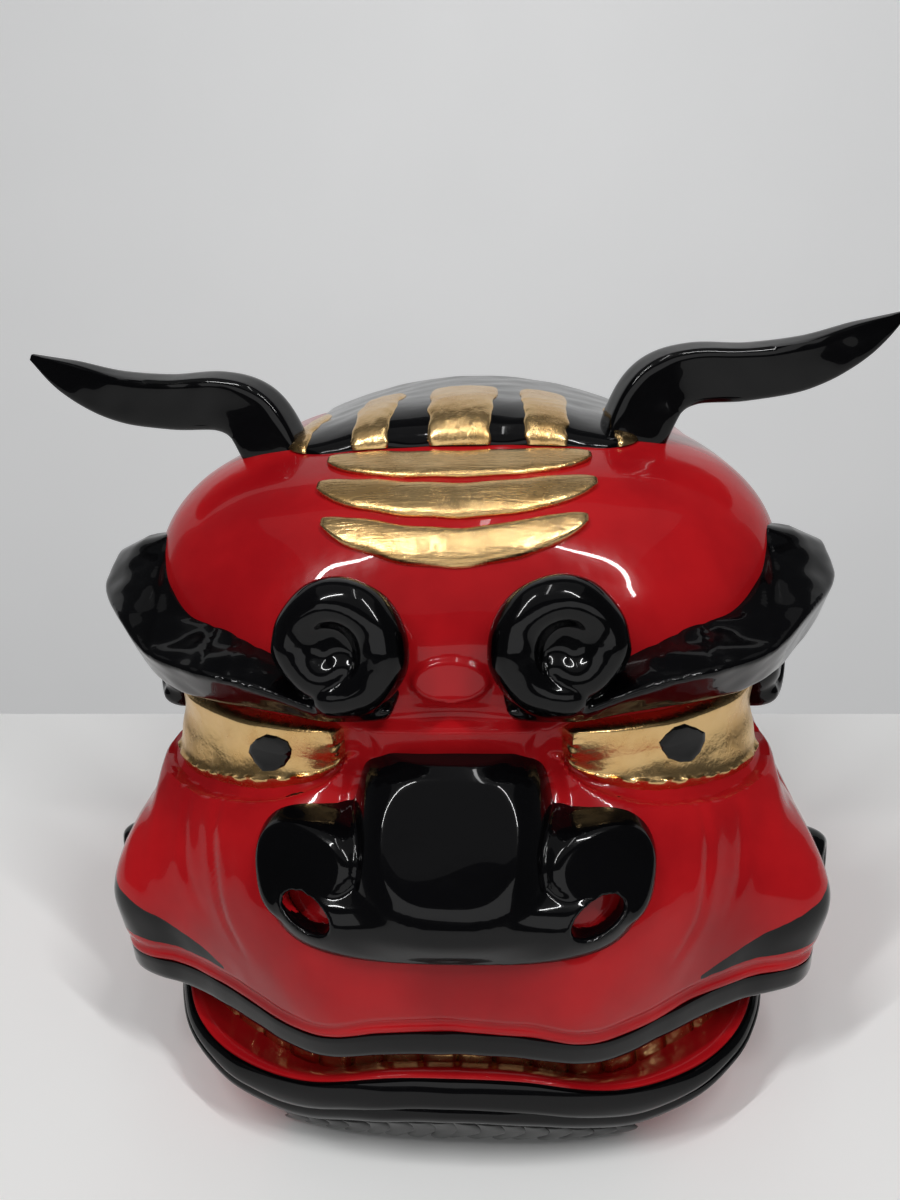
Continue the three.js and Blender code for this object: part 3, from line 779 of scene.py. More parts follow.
def head_relief(p, edge):
    """How far the carver left the surface proud of the plain form; `edge` is the height over the lip."""
    x, y, z = np.abs(p[..., 0]), p[..., 1], p[..., 2]
    front = smooth((40 - y) / 60)
    cheek = smooth((212 - z) / 20)
    rise = (0.18 + 0.34 * cheek) * ripple(p, 44, 1) + 0.12 * cheek * ripple(p, 17, 2)

    mid = (OVAL["low"] + OVAL["high"]) / 2
    ring = np.hypot(x / OVAL["half"], (z - mid) / (OVAL["high"] - mid))
    tilt = 1 - 0.4 * (z - mid) / (OVAL["high"] - mid)
    rise += front * OVAL["rise"] * tilt * smooth((1.10 - ring) / 0.22)
    rise -= front * HOLLOW["depth"] * bell(z - HOLLOW["z"], HOLLOW["high"]) * bell(x, HOLLOW["wide"])
    shelf = smooth((SHELF["top"] - z) / 4.5) * smooth((z - SHELF["low"]) / 14)
    rise += front * SHELF["rise"] * shelf * smooth((SHELF["half"] - x) / 26)

    below = np.interp(x, *np.array(EYELID, float).T) - z
    span = smooth((x - LID["start"]) / 10) * smooth((LID["end"] - x) / 14)
    swell = smooth((below + 0.8) / 2.6) * bell(np.maximum(below, 0), LID["fade"])
    rise += front * span * LID["rise"] * swell

    for depth, width, path in CREASES:
        off, along = path_distance(x, z, path)
        fade = np.sin(np.pi * np.clip(along, 0.02, 0.98)) ** 0.6
        rise += front * fade * depth * (0.55 * bell(off, width * 3.2) - bell(off, width))

    slant = math.radians(NOSTRIL["slant"])
    dx, dz = x - NOSTRIL["at"][0] + NOSTRIL_PIT["x"], z - NOSTRIL["at"][2] + NOSTRIL_PIT["z"]
    a = (dx * math.cos(slant) + dz * math.sin(slant)) / NOSTRIL["radii"][0]
    b = (dz * math.cos(slant) - dx * math.sin(slant)) / NOSTRIL["radii"][1]
    pit = smooth((NOSTRIL_PIT["reach"] - np.hypot(a, b)) / NOSTRIL_PIT["ease"])
    rise -= front * NOSTRIL_PIT["depth"] * pit

    rise += front * LIP_BEAD["rise"] * bell(edge - LIP_BEAD["at"], LIP_BEAD["wide"])
    rise -= front * LIP_GROOVE["depth"] * bell(edge - LIP_GROOVE["at"], LIP_GROOVE["wide"])
    return rise


LIP_LEVEL = 68.0  # height at which the lip's line is read off the head


def head_bottom(turn):
    """The height of the head's lower edge along its columns."""
    low = head_form.place(turn, LIP_LEVEL)
    mouth = lip_line(low[..., 0]) + LIP_HEIGHT + SEAT_GAP
    return np.where(low[..., 1] < JOWL_Y, mouth, JOWL_Z)


def turns_round(front, side):
    """Turns from the left of the back to the right, with `front` steps over the rounded front."""
    return np.concatenate([
        np.linspace(-1, -FRONT_SHARE, side, endpoint=False),
        np.linspace(-FRONT_SHARE, FRONT_SHARE, front, endpoint=False),
        np.linspace(FRONT_SHARE, 1, side + 1),
    ])


def red_head(wall):
    """The hollow head: a fine outer surface, a plain inner wall and the rims between them."""
    step, rows = 4, 221
    turn = turns_round(320, 30)
    columns = len(turn)
    heights = head_form.heights(HEAD_SECTIONS[0][0], rows)
    rise = (heights - heights[0]) / (heights[-1] - heights[0])
    bottom = head_bottom(turn)
    z = bottom + rise[:, None] * (heights[-1] - bottom)
    plain = head_form.place(np.broadcast_to(turn, z.shape), z)
    outer = plain + normals_of(plain) * head_relief(plain, z - bottom)[..., None]
    outer[:, 0, 1] = outer[:, -1, 1] = HEAD_BACK

    low_z = z[::step, ::step]
    inner = head_form.place(np.broadcast_to(turn[::step], low_z.shape), low_z, inset=wall)
    inner[..., 2] -= wall * np.clip((low_z - WAIST_Z) / (CROWN_Z - WAIST_Z), 0, 1)
    in_rows, in_columns = low_z.shape

    start = rows * columns
    points = np.concatenate([outer.reshape(-1, 3), inner.reshape(-1, 3)])
    faces = grid_faces(rows, columns)
    faces += [f[::-1] for f in grid_faces(in_rows, in_columns, offset=start)]
    faces += crown_faces((rows - 1) * columns, columns)
    faces += [f[::-1] for f in crown_faces(start + (in_rows - 1) * in_columns, in_columns)]
    for k in range(in_columns - 1):
        fine = [k * step + m for m in range(step + 1)]
        faces.append([start + k, start + k + 1] + fine[::-1])
    for k in range(in_rows - 1):
        for fine_column, coarse_column in ((0, 0), (columns - 1, in_columns - 1)):
            fine = [(k * step + m) * columns + fine_column for m in range(step + 1)]
            coarse = [start + (k + m) * in_columns + coarse_column for m in (0, 1)]
            faces.append(coarse + fine[::-1])
    return new_object("upper_head_carved", points, faces, sharp=50)


def crown_faces(first, columns):
    """Faces across the last row of a loft, from its left half to its right half."""
    last = columns - 1
    faces = []
    for j in range(columns // 2):
        a, b, c, d = first + j, first + j + 1, first + last - j - 1, first + last - j
        faces.append([a, b, c, d] if c != b else [a, b, d])
    return faces


# The nose

NOSE_WING = {"at": (60, -90, 148), "radii": (31, 42, 26), "power": 2.7}
WING_FACET = {"at": (64, -124.5, 152), "normal": (0.36, -0.80, 0.48)}
NOSTRIL = {
    "at": (63, -134, 142.5), "way": (-0.10, 1.0, -0.16), "radii": (12.5, 7.0), "slant": 20, "end": -104,
}
BRIDGE_CUTS = (
    # planes that flatten the top of the bridge: a point and the way out
    ((0, -110.5, 188), (0, -0.72, 0.69)),
    ((37, -110, 184), (0.62, -0.58, 0.52)),
    ((-37, -110, 184), (-0.62, -0.58, 0.52)),
)


def carved_nose(voxel):
    """A band across the muzzle, a tall bridge block and two wings, with a nostril in each."""
    block = Block((-92, -152, 114), (92, -58, 201), voxel)
    block.add(block.loft(NOSE_BAND))
    bridge = block.loft(NOSE_BLOCK)
    for point, normal in BRIDGE_CUTS:
        bridge = soft_max(bridge, block.plane(point, normal), 0.8)
    block.add(bridge, 5.0)
    for side in (1, -1):
        wing = block.ball(mirror_x(NOSE_WING["at"], side), NOSE_WING["radii"], NOSE_WING["power"])
        facet = block.plane(mirror_x(WING_FACET["at"], side), mirror_x(WING_FACET["normal"], side))
        block.add(soft_max(wing, facet, 1.5), 0.8)
    for side in (1, -1):
        hole = (nostril_reach(block.points(), side) - 1) * min(NOSTRIL["radii"])
        block.keep(-np.maximum(hole, block.y - NOSTRIL["end"]), 1.2)
    block.keep(block.off_head(4.0))
    block.field += 0.12 * ripple(block.points(), 24, 3)
    return block.mesh("nose_carved", sharp=60)


def mirror_x(vector, side):
    return (vector[0] * side, *vector[1:])


def nostril_reach(p, side):
    """How far points lie from a nostril's middle line, 1 at its edge."""
    way = unit(mirror_x(NOSTRIL["way"], side))
    slant = math.radians(NOSTRIL["slant"]) * side
    across = unit(np.cross((-math.sin(slant), 0, math.cos(slant)), way))
    over = np.cross(way, across)
    rel = p - np.array(mirror_x(NOSTRIL["at"], side))
    return np.hypot(rel @ across / NOSTRIL["radii"][0], rel @ over / NOSTRIL["radii"][1])


def paint_nostrils(piece, red):
    """Red lacquer inside the nostrils."""
    piece.data.materials.append(red)
    middle = np.empty(len(piece.data.polygons) * 3)
    piece.data.polygons.foreach_get("center", middle)
    middle = mm(middle.reshape(-1, 3))
    reach = np.minimum(nostril_reach(middle, 1), nostril_reach(middle, -1))
    piece.data.polygons.foreach_set("material_index", (reach < 0.98).astype(np.int32))


# Brows and tufts

CURL = {"at": (49, -86, 246), "turns": 1.05}
CURL_FILL = {"at": (49, -74, 246), "radii": (26, 17, 26)}
CURL_ROWS = (
    # along the curl, radius of its line, half width and height of its roll
    (0.0, 20.5, 10.5, 11),
    (0.25, 21, 11.5, 13),
    (0.5, 20.5, 11.5, 13.5),
    (0.72, 18.5, 11, 12.5),
    (0.88, 14.5, 10, 11),
    (1.0, 9.5, 8.5, 9),
)
CURL_FACING = (0.18, -1.0, 0.25)
BROW_SLOPES = {"arm": 4.5, "end": 1.9, "under": 0.7}  # millimetres back for each one up or down
BROW_END = (122, 42)  # x at which the arm's slope turns to the end's, and over how much
BROW_CUTS = ((90, 0.18), (99, 0.2), (112, 0.22), (138, 0.40))  # x at mid height, lean
BROW_MID_Z = 225
BROW_TOP = ((167, -1.5, 265), (0.155, -0.383, 0.91))  # flat top: a point and the way out
BROW_BACK = 24.0


def spiral_path(curl, rows, facing, count, start=-math.pi / 2, sense=-1):
    """Points of a curl that starts at its rim and winds in, with the half width and height of its roll."""
    f = unit(facing)
    right = unit(np.cross((0, 0, 1), f))
    over = np.cross(f, right)
    t = np.linspace(0, 1, count)
    at, radius, tube, out = np.array(rows, float).T
    r, tube, out = (np.interp(t, at, column) for column in (radius, tube, out))
    angle = start + sense * 2 * math.pi * curl["turns"] * t
    around = np.cos(angle)[:, None] * right + np.sin(angle)[:, None] * over
    return np.array(curl["at"]) + r[:, None] * around, tube, out


def outline_distance(x, z, outline):
    """Signed distance to a closed outline in the x, z plane, below zero inside."""
    corners = np.array(outline, float)
    best = np.full(x.shape, 1e9)
    inside = np.zeros(x.shape, bool)
    for (ax, az), (bx, bz) in zip(corners, np.roll(corners, -1, axis=0)):
        ex, ez = bx - ax, bz - az
        t = np.clip(((x - ax) * ex + (z - az) * ez) / (ex * ex + ez * ez), 0, 1)
        best = np.minimum(best, np.hypot(x - ax - t * ex, z - az - t * ez))
        crosses = (az > z) != (bz > z)
        inside ^= crosses & (x < ax + (z - az) / (bz - az + 1e-9) * ex)
    return np.where(inside, -best, best)


def carved_brow(voxel):
    """The right brow: an arm with two faces, notches and a flat top, and a curl at its inner end."""
    block = Block((8, -112, 200), (200, 30, 284), voxel)
    x, z = block.x[:, :1, :], block.z[:, :1, :]
    side = outline_distance(x, z, BROW_OUTLINE) + 0.6
    crest = rows_through(BROW_CREST, 200)
    ridge_y, ridge_z = (np.interp(x, crest[:, 0], crest[:, k]) for k in (1, 2))
    end, over = BROW_END
    rise = BROW_SLOPES["arm"] + (BROW_SLOPES["end"] - BROW_SLOPES["arm"]) * smooth((x - end) / over)
    under = BROW_SLOPES["under"]
    upper = ridge_y + rise * (z - ridge_z)
    for start, lean in BROW_CUTS:
        off = x - start - lean * (z - BROW_MID_Z)
        upper = upper + 2.4 * bell(off, 1.7) - 0.9 * bell(off - 5, 5.0)
    lower = ridge_y + under * (ridge_z - z)
    front = soft_max((upper - block.y) / np.hypot(1, rise), (lower - block.y) / math.hypot(1, under), 3.0)
    arm = soft_max(soft_max(side, front, 3.5), block.plane(*BROW_TOP), 1.2)
    block.add(soft_max(arm, block.y - BROW_BACK, 2.0))

    curl, tube, height = spiral_path(CURL, CURL_ROWS, CURL_FACING, 80)
    block.add(block.snail(curl, tube, height, CURL_FACING), 2.0)
    block.add(block.ball(CURL_FILL["at"], CURL_FILL["radii"]), 4.0)
    block.keep(block.off_head(3.0))
    grain = block.points()
    block.field += 0.35 * ripple(grain, 23, 5) + 0.10 * ripple(grain, 12, 6)
    return block.mesh("brow_right_carved", sharp=60)


TUFT_ROWS = (
    # along the curl, radius of its line, half width and height of its roll, as shares of the tuft's size
    (0.0, 1.0, 0.50, 0.85),
    (0.5, 0.75, 0.48, 0.85),
    (1.0, 0.2, 0.34, 0.8),
)
TUFTS = {
    "temple_curl": {
        "low": (128, -22, 166), "high": (182, 42, 230), "facing": (0.95, -0.45, 0.1), "start": -1.9,
        "at": (156, 11, 198), "turns": 1.2, "size": 17, "core": (14, 20, 20),
    },
    "cheek_curl": {
        "low": (150, -72, 74), "high": (200, 14, 126), "facing": (0.97, -0.4, 0.05), "start": -2.4,
        "at": (179, -30, 100), "turns": 1.1, "size": 14, "core": (8, 25, 15),
    },
}


def carved_tuft(name, voxel):
    """A small curled tuft of hair on the right side."""
    made = TUFTS[name]
    block = Block(made["low"], made["high"], voxel)
    rows = np.array(TUFT_ROWS) * (1, *[made["size"]] * 3)
    path, tube, out = spiral_path(made, rows, made["facing"], 40, made["start"], 1)
    block.add(block.snail(path, tube, out, made["facing"]))
    block.add(block.ball(made["at"], made["core"]), 2.0)
    return block.mesh(name + "_right_carved", sharp=60)


# Eyes

EYE_END_Y = -13.0
EYE_INNER_X = 46.0
EYE_LEVEL, EYE_END_LEVEL = 190.0, 186.0  # heights at which the eye's places are read off the head
EYE_DEPTH = 3.5


class EyeShape:
    """The gold eye as a patch of the head's surface, from the inner corner round to the temple."""

    def __init__(self):
        self.start = turn_where(head_form, EYE_LEVEL, 0, EYE_INNER_X)
        self.end = turn_where(head_form, EYE_END_LEVEL, 1, EYE_END_Y)
        across, self.low, self.high = np.array(EYE_EDGES, float).T
        places = np.array([turn_where(head_form, EYE_LEVEL, 0, x) for x in across[:-1]])
        self.f = np.append((places - self.start) / (self.end - self.start), 1.0)

    def edges(self, f):
        """Heights of the lower and upper edge at a share of the eye's length."""
        return np.interp(f, self.f, self.low), np.interp(f, self.f, self.high)

    def lift(self, f, v):
        """How far the gold stands out, a share along the eye and a share up it."""
        round_v = np.sin(np.pi * np.clip(0.08 + 0.84 * v, 0, 1))
        round_f = np.clip(np.sin(np.pi * np.clip(0.06 + 0.90 * f, 0, 1)), 0, 1) ** 0.6
        return 0.8 + 4.0 * round_v * round_f + 6.5 * np.clip(v, 0, 1)

    def grid(self, columns, rows):
        f, v = np.meshgrid(np.linspace(0, 1, columns), np.linspace(0, 1, rows))
        low, high = self.edges(f)
        turn = self.start + f * (self.end - self.start)
        z = low + (high - low) * v
        plain = head_form.place(turn, z)
        crumble = ripple(plain, 7, 8) + 0.6 * ripple(plain, 3.2, 9)
        border = np.minimum(np.minimum(v, 1 - v) / 0.10, np.minimum(f, 1 - f) / 0.05)
        rim = np.minimum(v / 0.13, f / 0.06)
        lift = self.lift(f, v) + (1.5 + 0.9 * crumble) * bell(rim - 0.6, 0.3)
        lift = lift + 0.35 * ripple(plain, 24, 10)
        lift = lift * smooth(border) - 2.0 * (1 - smooth(border))
        z = z + 0.3 * crumble * bell(v, 0.12)
        plain = head_form.place(turn, z)
        return plain, plain + normals_of(plain) * lift[..., None]

    def on_surface(self, x, z, extra):
        """Points over x and z on the eye's gold, raised by `extra`."""
        turns = np.linspace(0, 0.75, 900)
        xs = head_form.place(turns, EYE_LEVEL)[:, 0]
        f = (np.interp(np.abs(x), xs, turns) - self.start) / (self.end - self.start)
        low, high = self.edges(f)
        v = (z - low) / (high - low)
        return face_point(np.abs(x), z, self.lift(f, v) + extra)


def gold_eye(shape):
    plain, top = shape.grid(96, 56)
    points, faces = plate_between(top, plain - normals_of(plain) * EYE_DEPTH)
    return new_object("eye_right_gilt", points, faces, sharp=60)


PUPIL = {"x": 93, "glance": 9, "z": 189.0, "radius": 11.2, "rise": 1.3, "lean": 0.42, "root": -2.0}
PUPIL_BEVEL = (0.62, 0.3)  # heights of the last two rings, as shares of the pupil's
PUPIL_EDGE = (1.0, 1.05, 0.98, 1.04, 1.0, 0.97, 1.05, 0.99, 1.03, 0.98, 1.02, 1.0)


def black_pupil(shape, side):
    """A cut disc of twelve short sides, domed a little, on the eye's gold."""
    rings, around, sides = 12, 72, len(PUPIL_EDGE)
    centre = side * PUPIL["x"] + PUPIL["glance"]
    angle = circle(around)
    corner = angle / (2 * math.pi) * sides
    facet = math.cos(math.pi / sides) / np.cos((corner % 1 - 0.5) * 2 * math.pi / sides)
    reach = PUPIL["radius"] * facet * np.interp(corner, np.arange(sides + 1), PUPIL_EDGE + PUPIL_EDGE[:1])
    out = np.maximum(np.arange(rings + 1) / rings, 0.02)
    heights = PUPIL["rise"] * np.append(1 - 0.25 * out[:-2] ** 2, PUPIL_BEVEL)
    rows = []
    for r, height in zip([*out, 1.0], [*heights, PUPIL["root"]]):
        x = centre + reach * r * np.cos(angle)
        z = PUPIL["z"] + reach * r * np.sin(angle) - PUPIL["lean"] * (np.abs(x) - abs(centre))
        rows.append(shape.on_surface(x, z, height))
    points = np.array(rows)[::-1] * (side, 1, 1)
    name = "pupil_right_black" if side > 0 else "pupil_left_black"
    return new_object(name, points.reshape(-1, 3), tube_faces(len(rows), around), sharp=40)


# Ears

EAR_CRISP = 14  # how crisp the edges between an ear's faces are
EAR_FACES = (
    # direction in degrees from the upper edge towards the front, share of the half width and half thickness
    (12, 0.95, 0.0),
    (97, 0.0, 0.92),
    (152, 0.72, 0.42),
    (188, 0.97, 0.0),
    (262, 0.0, 0.92),
    (325, 0.72, 0.5),
)


def carved_ear(name, set_by):
    """An ear of the right side, swept along its bent line with flat faces."""
    rings, around = 90, 48
    rows = rows_through(EAR, rings)
    path, wide, thick = rows[:, :3] + np.array(set_by, float), rows[:, 3] / 2, rows[:, 4] / 2
    along = unit(np.gradient(path, axis=0))
    forward = np.array((0.0, -1.0, 0.0))
    ahead = unit(forward - along * (along @ forward)[:, None])
    over = np.cross(along, ahead)
    over *= np.sign(over[len(over) // 2, 2])
    angle = circle(around)
    total = np.zeros((rings, around))
    for degrees, by_width, by_thickness in EAR_FACES:
        reach = by_width * wide + by_thickness * thick
        facing = np.cos(angle - math.radians(degrees))
        total += np.maximum(facing[None] / reach[:, None], 0) ** EAR_CRISP
    r = total ** (-1 / EAR_CRISP)
    points = path[:, None] + r[..., None] * (
        np.cos(angle)[None, :, None] * over[:, None] + np.sin(angle)[None, :, None] * ahead[:, None]
    )
    points = points + 0.18 * ripple(points, 19, 12)[..., None] * ahead[:, None]
    return new_object(name, points.reshape(-1, 3), tube_faces(rings, around), sharp=50)


# Gold bars and hair

BAR_PLANE = {"y": -47.0, "z": 283.0, "tilt": math.radians(52)}
SKULL_LEVEL = 283.0
SEARCH_REACH, SEARCH_ROUNDS = 70, 34


def inside_head(p):
    """True for points inside the head's outer form."""
    row = head_form.at(p[..., 2])
    front = p[..., 1] > head_form.front_y(p[..., 0], p[..., 2])
    side = smooth((p[..., 1] - row["mid"]) / (HEAD_BACK - row["mid"]))
    wide = np.abs(p[..., 0]) < row["half"] + (row["rear"] - row["half"]) * side
    behind = p[..., 1] > row["mid"]
    return np.where(behind, wide, front) & (p[..., 2] < CROWN_Z)


def onto_head(p, way):
    """Move points along `way` onto the head's surface."""
    way = np.asarray(way, float)
    outside, inside = p + way * SEARCH_REACH, p - way * SEARCH_REACH
    for _ in range(SEARCH_ROUNDS):
        middle = (outside + inside) / 2
        hit = inside_head(middle)[..., None]
        inside = np.where(hit, middle, inside)
        outside = np.where(hit, outside, middle)
    return (outside + inside) / 2


def gold_bar(index, rise):
    """A long bar with pointed ends that sags in the middle, domed over the forehead."""
    mid, half, sag, high = BARS[index]
    tilt = BAR_PLANE["tilt"]
    up = np.array((0, math.cos(tilt), math.sin(tilt)))
    out = np.array((0, -math.sin(tilt), math.cos(tilt)))
    t, v = np.meshgrid(eased(121), eased(29))
    shake = 0.5 * ripple(np.stack([half * t, v * 3, v * 0 + index * 9], -1), 26, 14)
    b = mid + sag * np.abs(t) ** 1.8 + (v * high / 2 + shake) * np.sqrt(np.maximum(1 - t ** 4, 0))
    flat = np.array((0, BAR_PLANE["y"], BAR_PLANE["z"])) + b[..., None] * up
    flat = flat + (half * t)[..., None] * np.array((1.0, 0, 0))
    seat = onto_head(flat, out)
    edge = np.maximum(np.abs(v), np.abs(t) ** 10)
    lift = rise * (1 - edge ** 5) ** 0.5 - 0.4 + 0.22 * ripple(seat, 17, 15)
    points, faces = plate_between(seat + lift[..., None] * out, seat - 2.5 * out)
    return new_object("forehead_bar_%d_gilt" % (index + 1), points, faces, sharp=60)


CAP_CREST = 80.0
STRIPE_END = 112.0
FLUTE_PITCH = 45.0


def cap_arch(x):
    """The height of the hair's crest over x."""
    return CROWN_Z + CAP_RISE - CAP_ARCH + np.sqrt(CAP_ARCH ** 2 - x ** 2)


def head_top(x, y):
    """The height of the skull over x and y."""
    p = np.stack([x, y, np.full_like(x, SKULL_LEVEL)], -1)
    return onto_head(p, (0, 0, 1))[..., 2]


def cap_point(x, v):
    """The hair's surface: up its rounded front for v to 1, then flat to the back at v of 2."""
    over = np.maximum(np.abs(x) - (CAP_HALF - CAP_CORNER), 0)
    front = CAP_FRONT + CAP_CORNER - np.sqrt(np.maximum(CAP_CORNER ** 2 - over ** 2, 0))
    crest = np.maximum(CAP_CREST, front + 12)
    q = np.clip(v, 0, 1) * math.pi / 2
    y = front + (crest - front) * (1 - np.cos(q)) + np.clip(v - 1, 0, 1) * (HEAD_BACK - crest)
    base = head_top(x, front)
    z = base + np.maximum(cap_arch(x) - base, 0.6) * np.sin(q)
    return np.stack([x, y, z], -1)


def hair_cap():
    """The band of hair over the crown, fluted at its front."""
    up = np.concatenate([np.linspace(0, 1, 40), np.linspace(1.03, 2, 34)])
    x, v = np.meshgrid(CAP_HALF * eased(141), up)
    top = cap_point(x, v)
    flutes = np.cos(2 * math.pi * x / FLUTE_PITCH)
    fade = smooth(v / 0.15) * smooth((1.5 - v) / 0.6) * smooth((CAP_HALF - np.abs(x)) / 8)
    top = top + normals_of(top) * (0.7 * flutes * fade + 0.15 * ripple(top, 21, 16))[..., None]
    bottom = top.copy()
    skull = head_top(top[..., 0], np.minimum(top[..., 1], HEAD_BACK - 1.0))
    bottom[..., 2] = np.minimum(top[..., 2] - 1.5, skull - 3.0)
    points, faces = plate_between(top, bottom)
    return new_object("hair_cap_carved", points, faces, sharp=60)


def gold_stripe(index, rise):
    """A stripe over the hair with ragged edges."""
    centre, half = STRIPES[index]
    end = 1 + (STRIPE_END - CAP_CREST) / (HEAD_BACK - CAP_CREST)
    a, v = np.meshgrid(eased(25), np.linspace(0.02, end, 70))
    share = v / end
    ragged = 0.7 * ripple(np.stack([a * 2, v * 40, a * 0 + index * 17], -1), 9, 20 + index)
    reach = half * (0.86 + 0.2 * share ** 2) + ragged
    x = np.clip(centre + a * reach, -CAP_HALF + 0.8, CAP_HALF - 0.8)
    tip = end * (1 - 0.05 * a ** 2 * (1 + ragged / 3))
    seat = cap_point(x, np.minimum(v, share * tip))
    normal = normals_of(seat)
    edge = np.maximum(np.abs(a), np.abs(2 * share - 1) ** 14)
    lift = (rise + 0.9) * (1 - edge ** 6) ** 0.5 + 0.12 * ripple(seat, 8, 30 + index)
    points, faces = plate_between(seat + normal * lift[..., None], seat - normal * 1.2)
    return new_object("hair_stripe_%d_gilt" % (index + 1), points, faces, sharp=60)


# Lips and jaw

LIP_PROFILE = (
    # height over the lip's lower edge, share of the lip's stand-out (below zero: millimetres into the wall)
    (13.0, 0.10), (12.8, 0.40), (12.0, 0.55), (10.0, 0.72), (7.0, 0.98), (4.0, 1.24), (1.8, 1.40),
    (0.6, 1.32), (0.0, 1.0), (0.1, -2.0), (0.6, -6.0), (1.4, -9.5), (3.0, -11.3), (7.0, -11.6),
    (11.5, -11.6), (13.0, -10.5), (13.0, -5.0),
)
LOWER_LIP_PROFILE = (
    # depth below the rim, millimetres out from the jaw's wall
    (1.4, -1.5), (1.0, 0.7), (1.2, 1.8), (2.4, 2.9), (5.5, 4.9), (8.5, 6.4), (10.5, 6.8), (11.8, 6.2),
    (12.6, 5.6), (13.4, 6.4), (15.0, 7.9), (17.5, 8.8), (19.5, 8.3), (21.0, 6.2), (21.8, 2.6),
    (20.0, -2.0), (8.0, -2.5),
)
LIP_END = {"level": 66, "y": JOWL_Y - 0.4}  # where the upper lip stops
LOWER_LIP_END = {"level": 30, "y": -31.0}
LOWER_LIP_TOP, LOWER_LIP_DEPTH = 1.2, 21.8
RIM_LEVEL = 40.0  # height at which the rim's line is read off the jaw


def flat_normals(points):
    """Level outward directions along a row of points from left to right."""
    along = np.gradient(points, axis=0)
    return unit(np.stack([along[:, 1], -along[:, 0], np.zeros(len(points))], -1))


def pushed_out(points, reach):
    """A row of points moved level and outwards."""
    return points + flat_normals(points) * np.broadcast_to(reach, len(points))[:, None]


def lip_object(name, loops):
    points = np.stack(loops, axis=1)
    return new_object(name, points.reshape(-1, 3), tube_faces(*points.shape[:2]), sharp=42)


def upper_lip(proud):
    """The rim of the upper lip, its profile swept along the mouth."""
    end = turn_where(head_form, LIP_END["level"], 1, LIP_END["y"])
    turn = np.linspace(-end, end, 301)
    base = head_form.place(turn, LIP_LEVEL)
    line = lip_line(base[:, 0])
    shake = 0.25 * ripple(base, 23, 40)
    loops = []
    for height, out in LIP_PROFILE:
        seat = head_form.place(turn, line + height)
        loops.append(pushed_out(seat, out * proud + shake if out > 0 else out))
    return lip_object("upper_lip_carved", loops)


def lower_lip():
    """The band of the lower lip, thinner towards the corners of the mouth."""
    end = turn_where(jaw_form, LOWER_LIP_END["level"], 1, LOWER_LIP_END["y"])
    turn = np.linspace(-end, end, 281)
    base = jaw_place(turn, RIM_LEVEL)
    line = rim_line(base[:, 0])
    deeper = 1 + (line - jaw_line(base[:, 0])) / LOWER_LIP_DEPTH
    shake = 0.3 * ripple(base, 26, 41)
    taper = 0.30 + 0.70 * smooth((152 - np.abs(base[:, 0])) / 75)
    loops = []
    for depth, out in LOWER_LIP_PROFILE:
        drop = LOWER_LIP_TOP + (depth - LOWER_LIP_TOP) * taper * deeper
        seat = jaw_place(turn, np.maximum(line - drop, 0.5))
        loops.append(pushed_out(seat, (out + shake) * taper ** 0.5 if out > 0 else out))
    return lip_object("lower_lip_carved", loops)


def jaw_place(turn, z):
    return jaw_form.place(turn, z, back=JAW_BACK)


JAW_WALL_ROWS, JAW_RIM_ROWS = 22, 12
JAW_FLOOR = 14.0
JAW_RIM = {"side": 30, "front": 54, "edge": 2.2, "dish": 5.0}
ARM = {"inner": 147.0, "outer": 160.0, "radius": 20.0, "y": 105.0, "z": 96.0, "bore": 7.5, "soft": 1.5}
ARM_TILT = math.radians(20)
# The arm below its round end, in y and z
ARM_OUTLINE = (
    (79, 70), (50, 52), (10, 40), (-20, 38), (-20, 4), (60, 4), (88, 12), (110, 40), (124.5, 88),
)


def red_jaw():
    """The jaw's tray: wall, broad dished rim and floor, with an arm on each side."""
    turn = turns_round(220, 14)
    base = jaw_place(turn, RIM_LEVEL)
    top = rim_line(base[:, 0])
    turned_up = top - jaw_line(base[:, 0])
    front = smooth((10 - base[:, 1]) / 110)
    rim = JAW_RIM["side"] + (JAW_RIM["front"] - JAW_RIM["side"]) * front
    loops = []

    def ring(z, out):
        loops.append(pushed_out(jaw_place(turn, z), out))

    ring(0.0, -4.0)
    ring(0.4, -1.2)
    for k in range(JAW_WALL_ROWS + 1):
        ring(2.0 + (top - 4.0) * k / JAW_WALL_ROWS, 0.0)
    ring(top - 0.6, -0.6)
    ring(top, -JAW_RIM["edge"])
    for k in range(1, JAW_RIM_ROWS + 1):
        share = k / JAW_RIM_ROWS
        fall = turned_up * smooth(share * 4) + JAW_RIM["dish"] * smooth(share)
        ring(top - fall + 0.25 * np.sin(share * 9 + turn * 7), -JAW_RIM["edge"] - rim * share)
    ring(top - turned_up - 7.5, -3.6 - rim)
    ring(JAW_FLOOR + 2, -4.4 - rim)
    ring(JAW_FLOOR, -6.5 - rim)
    points = np.stack(loops, axis=0)
    points[:, 0, 1] = points[:, -1, 1] = JAW_BACK
    rows, columns = points.shape[:2]
    faces = grid_faces(rows, columns)
    faces += crown_faces((rows - 1) * columns, columns)
    faces += [f[::-1] for f in crown_faces(0, columns)]
    left = [k * columns for k in range(rows)]
    right = [k * columns + columns - 1 for k in range(rows)]
    faces.append(left + right[::-1])
    points = points.reshape(-1, 3)
    for side in (1, -1):
        more, arm = jaw_arm(side)
        faces += [[k + len(points) for k in f] for f in arm]
        points = np.concatenate([points, more])
    return new_object("lower_jaw_carved", points, faces, sharp=50)


def arm_arc(radius, angles):
    """Points in y and z on a circle about the peg."""
    return np.stack([ARM["y"] + radius * np.cos(angles), ARM["z"] + radius * np.sin(angles)], -1)


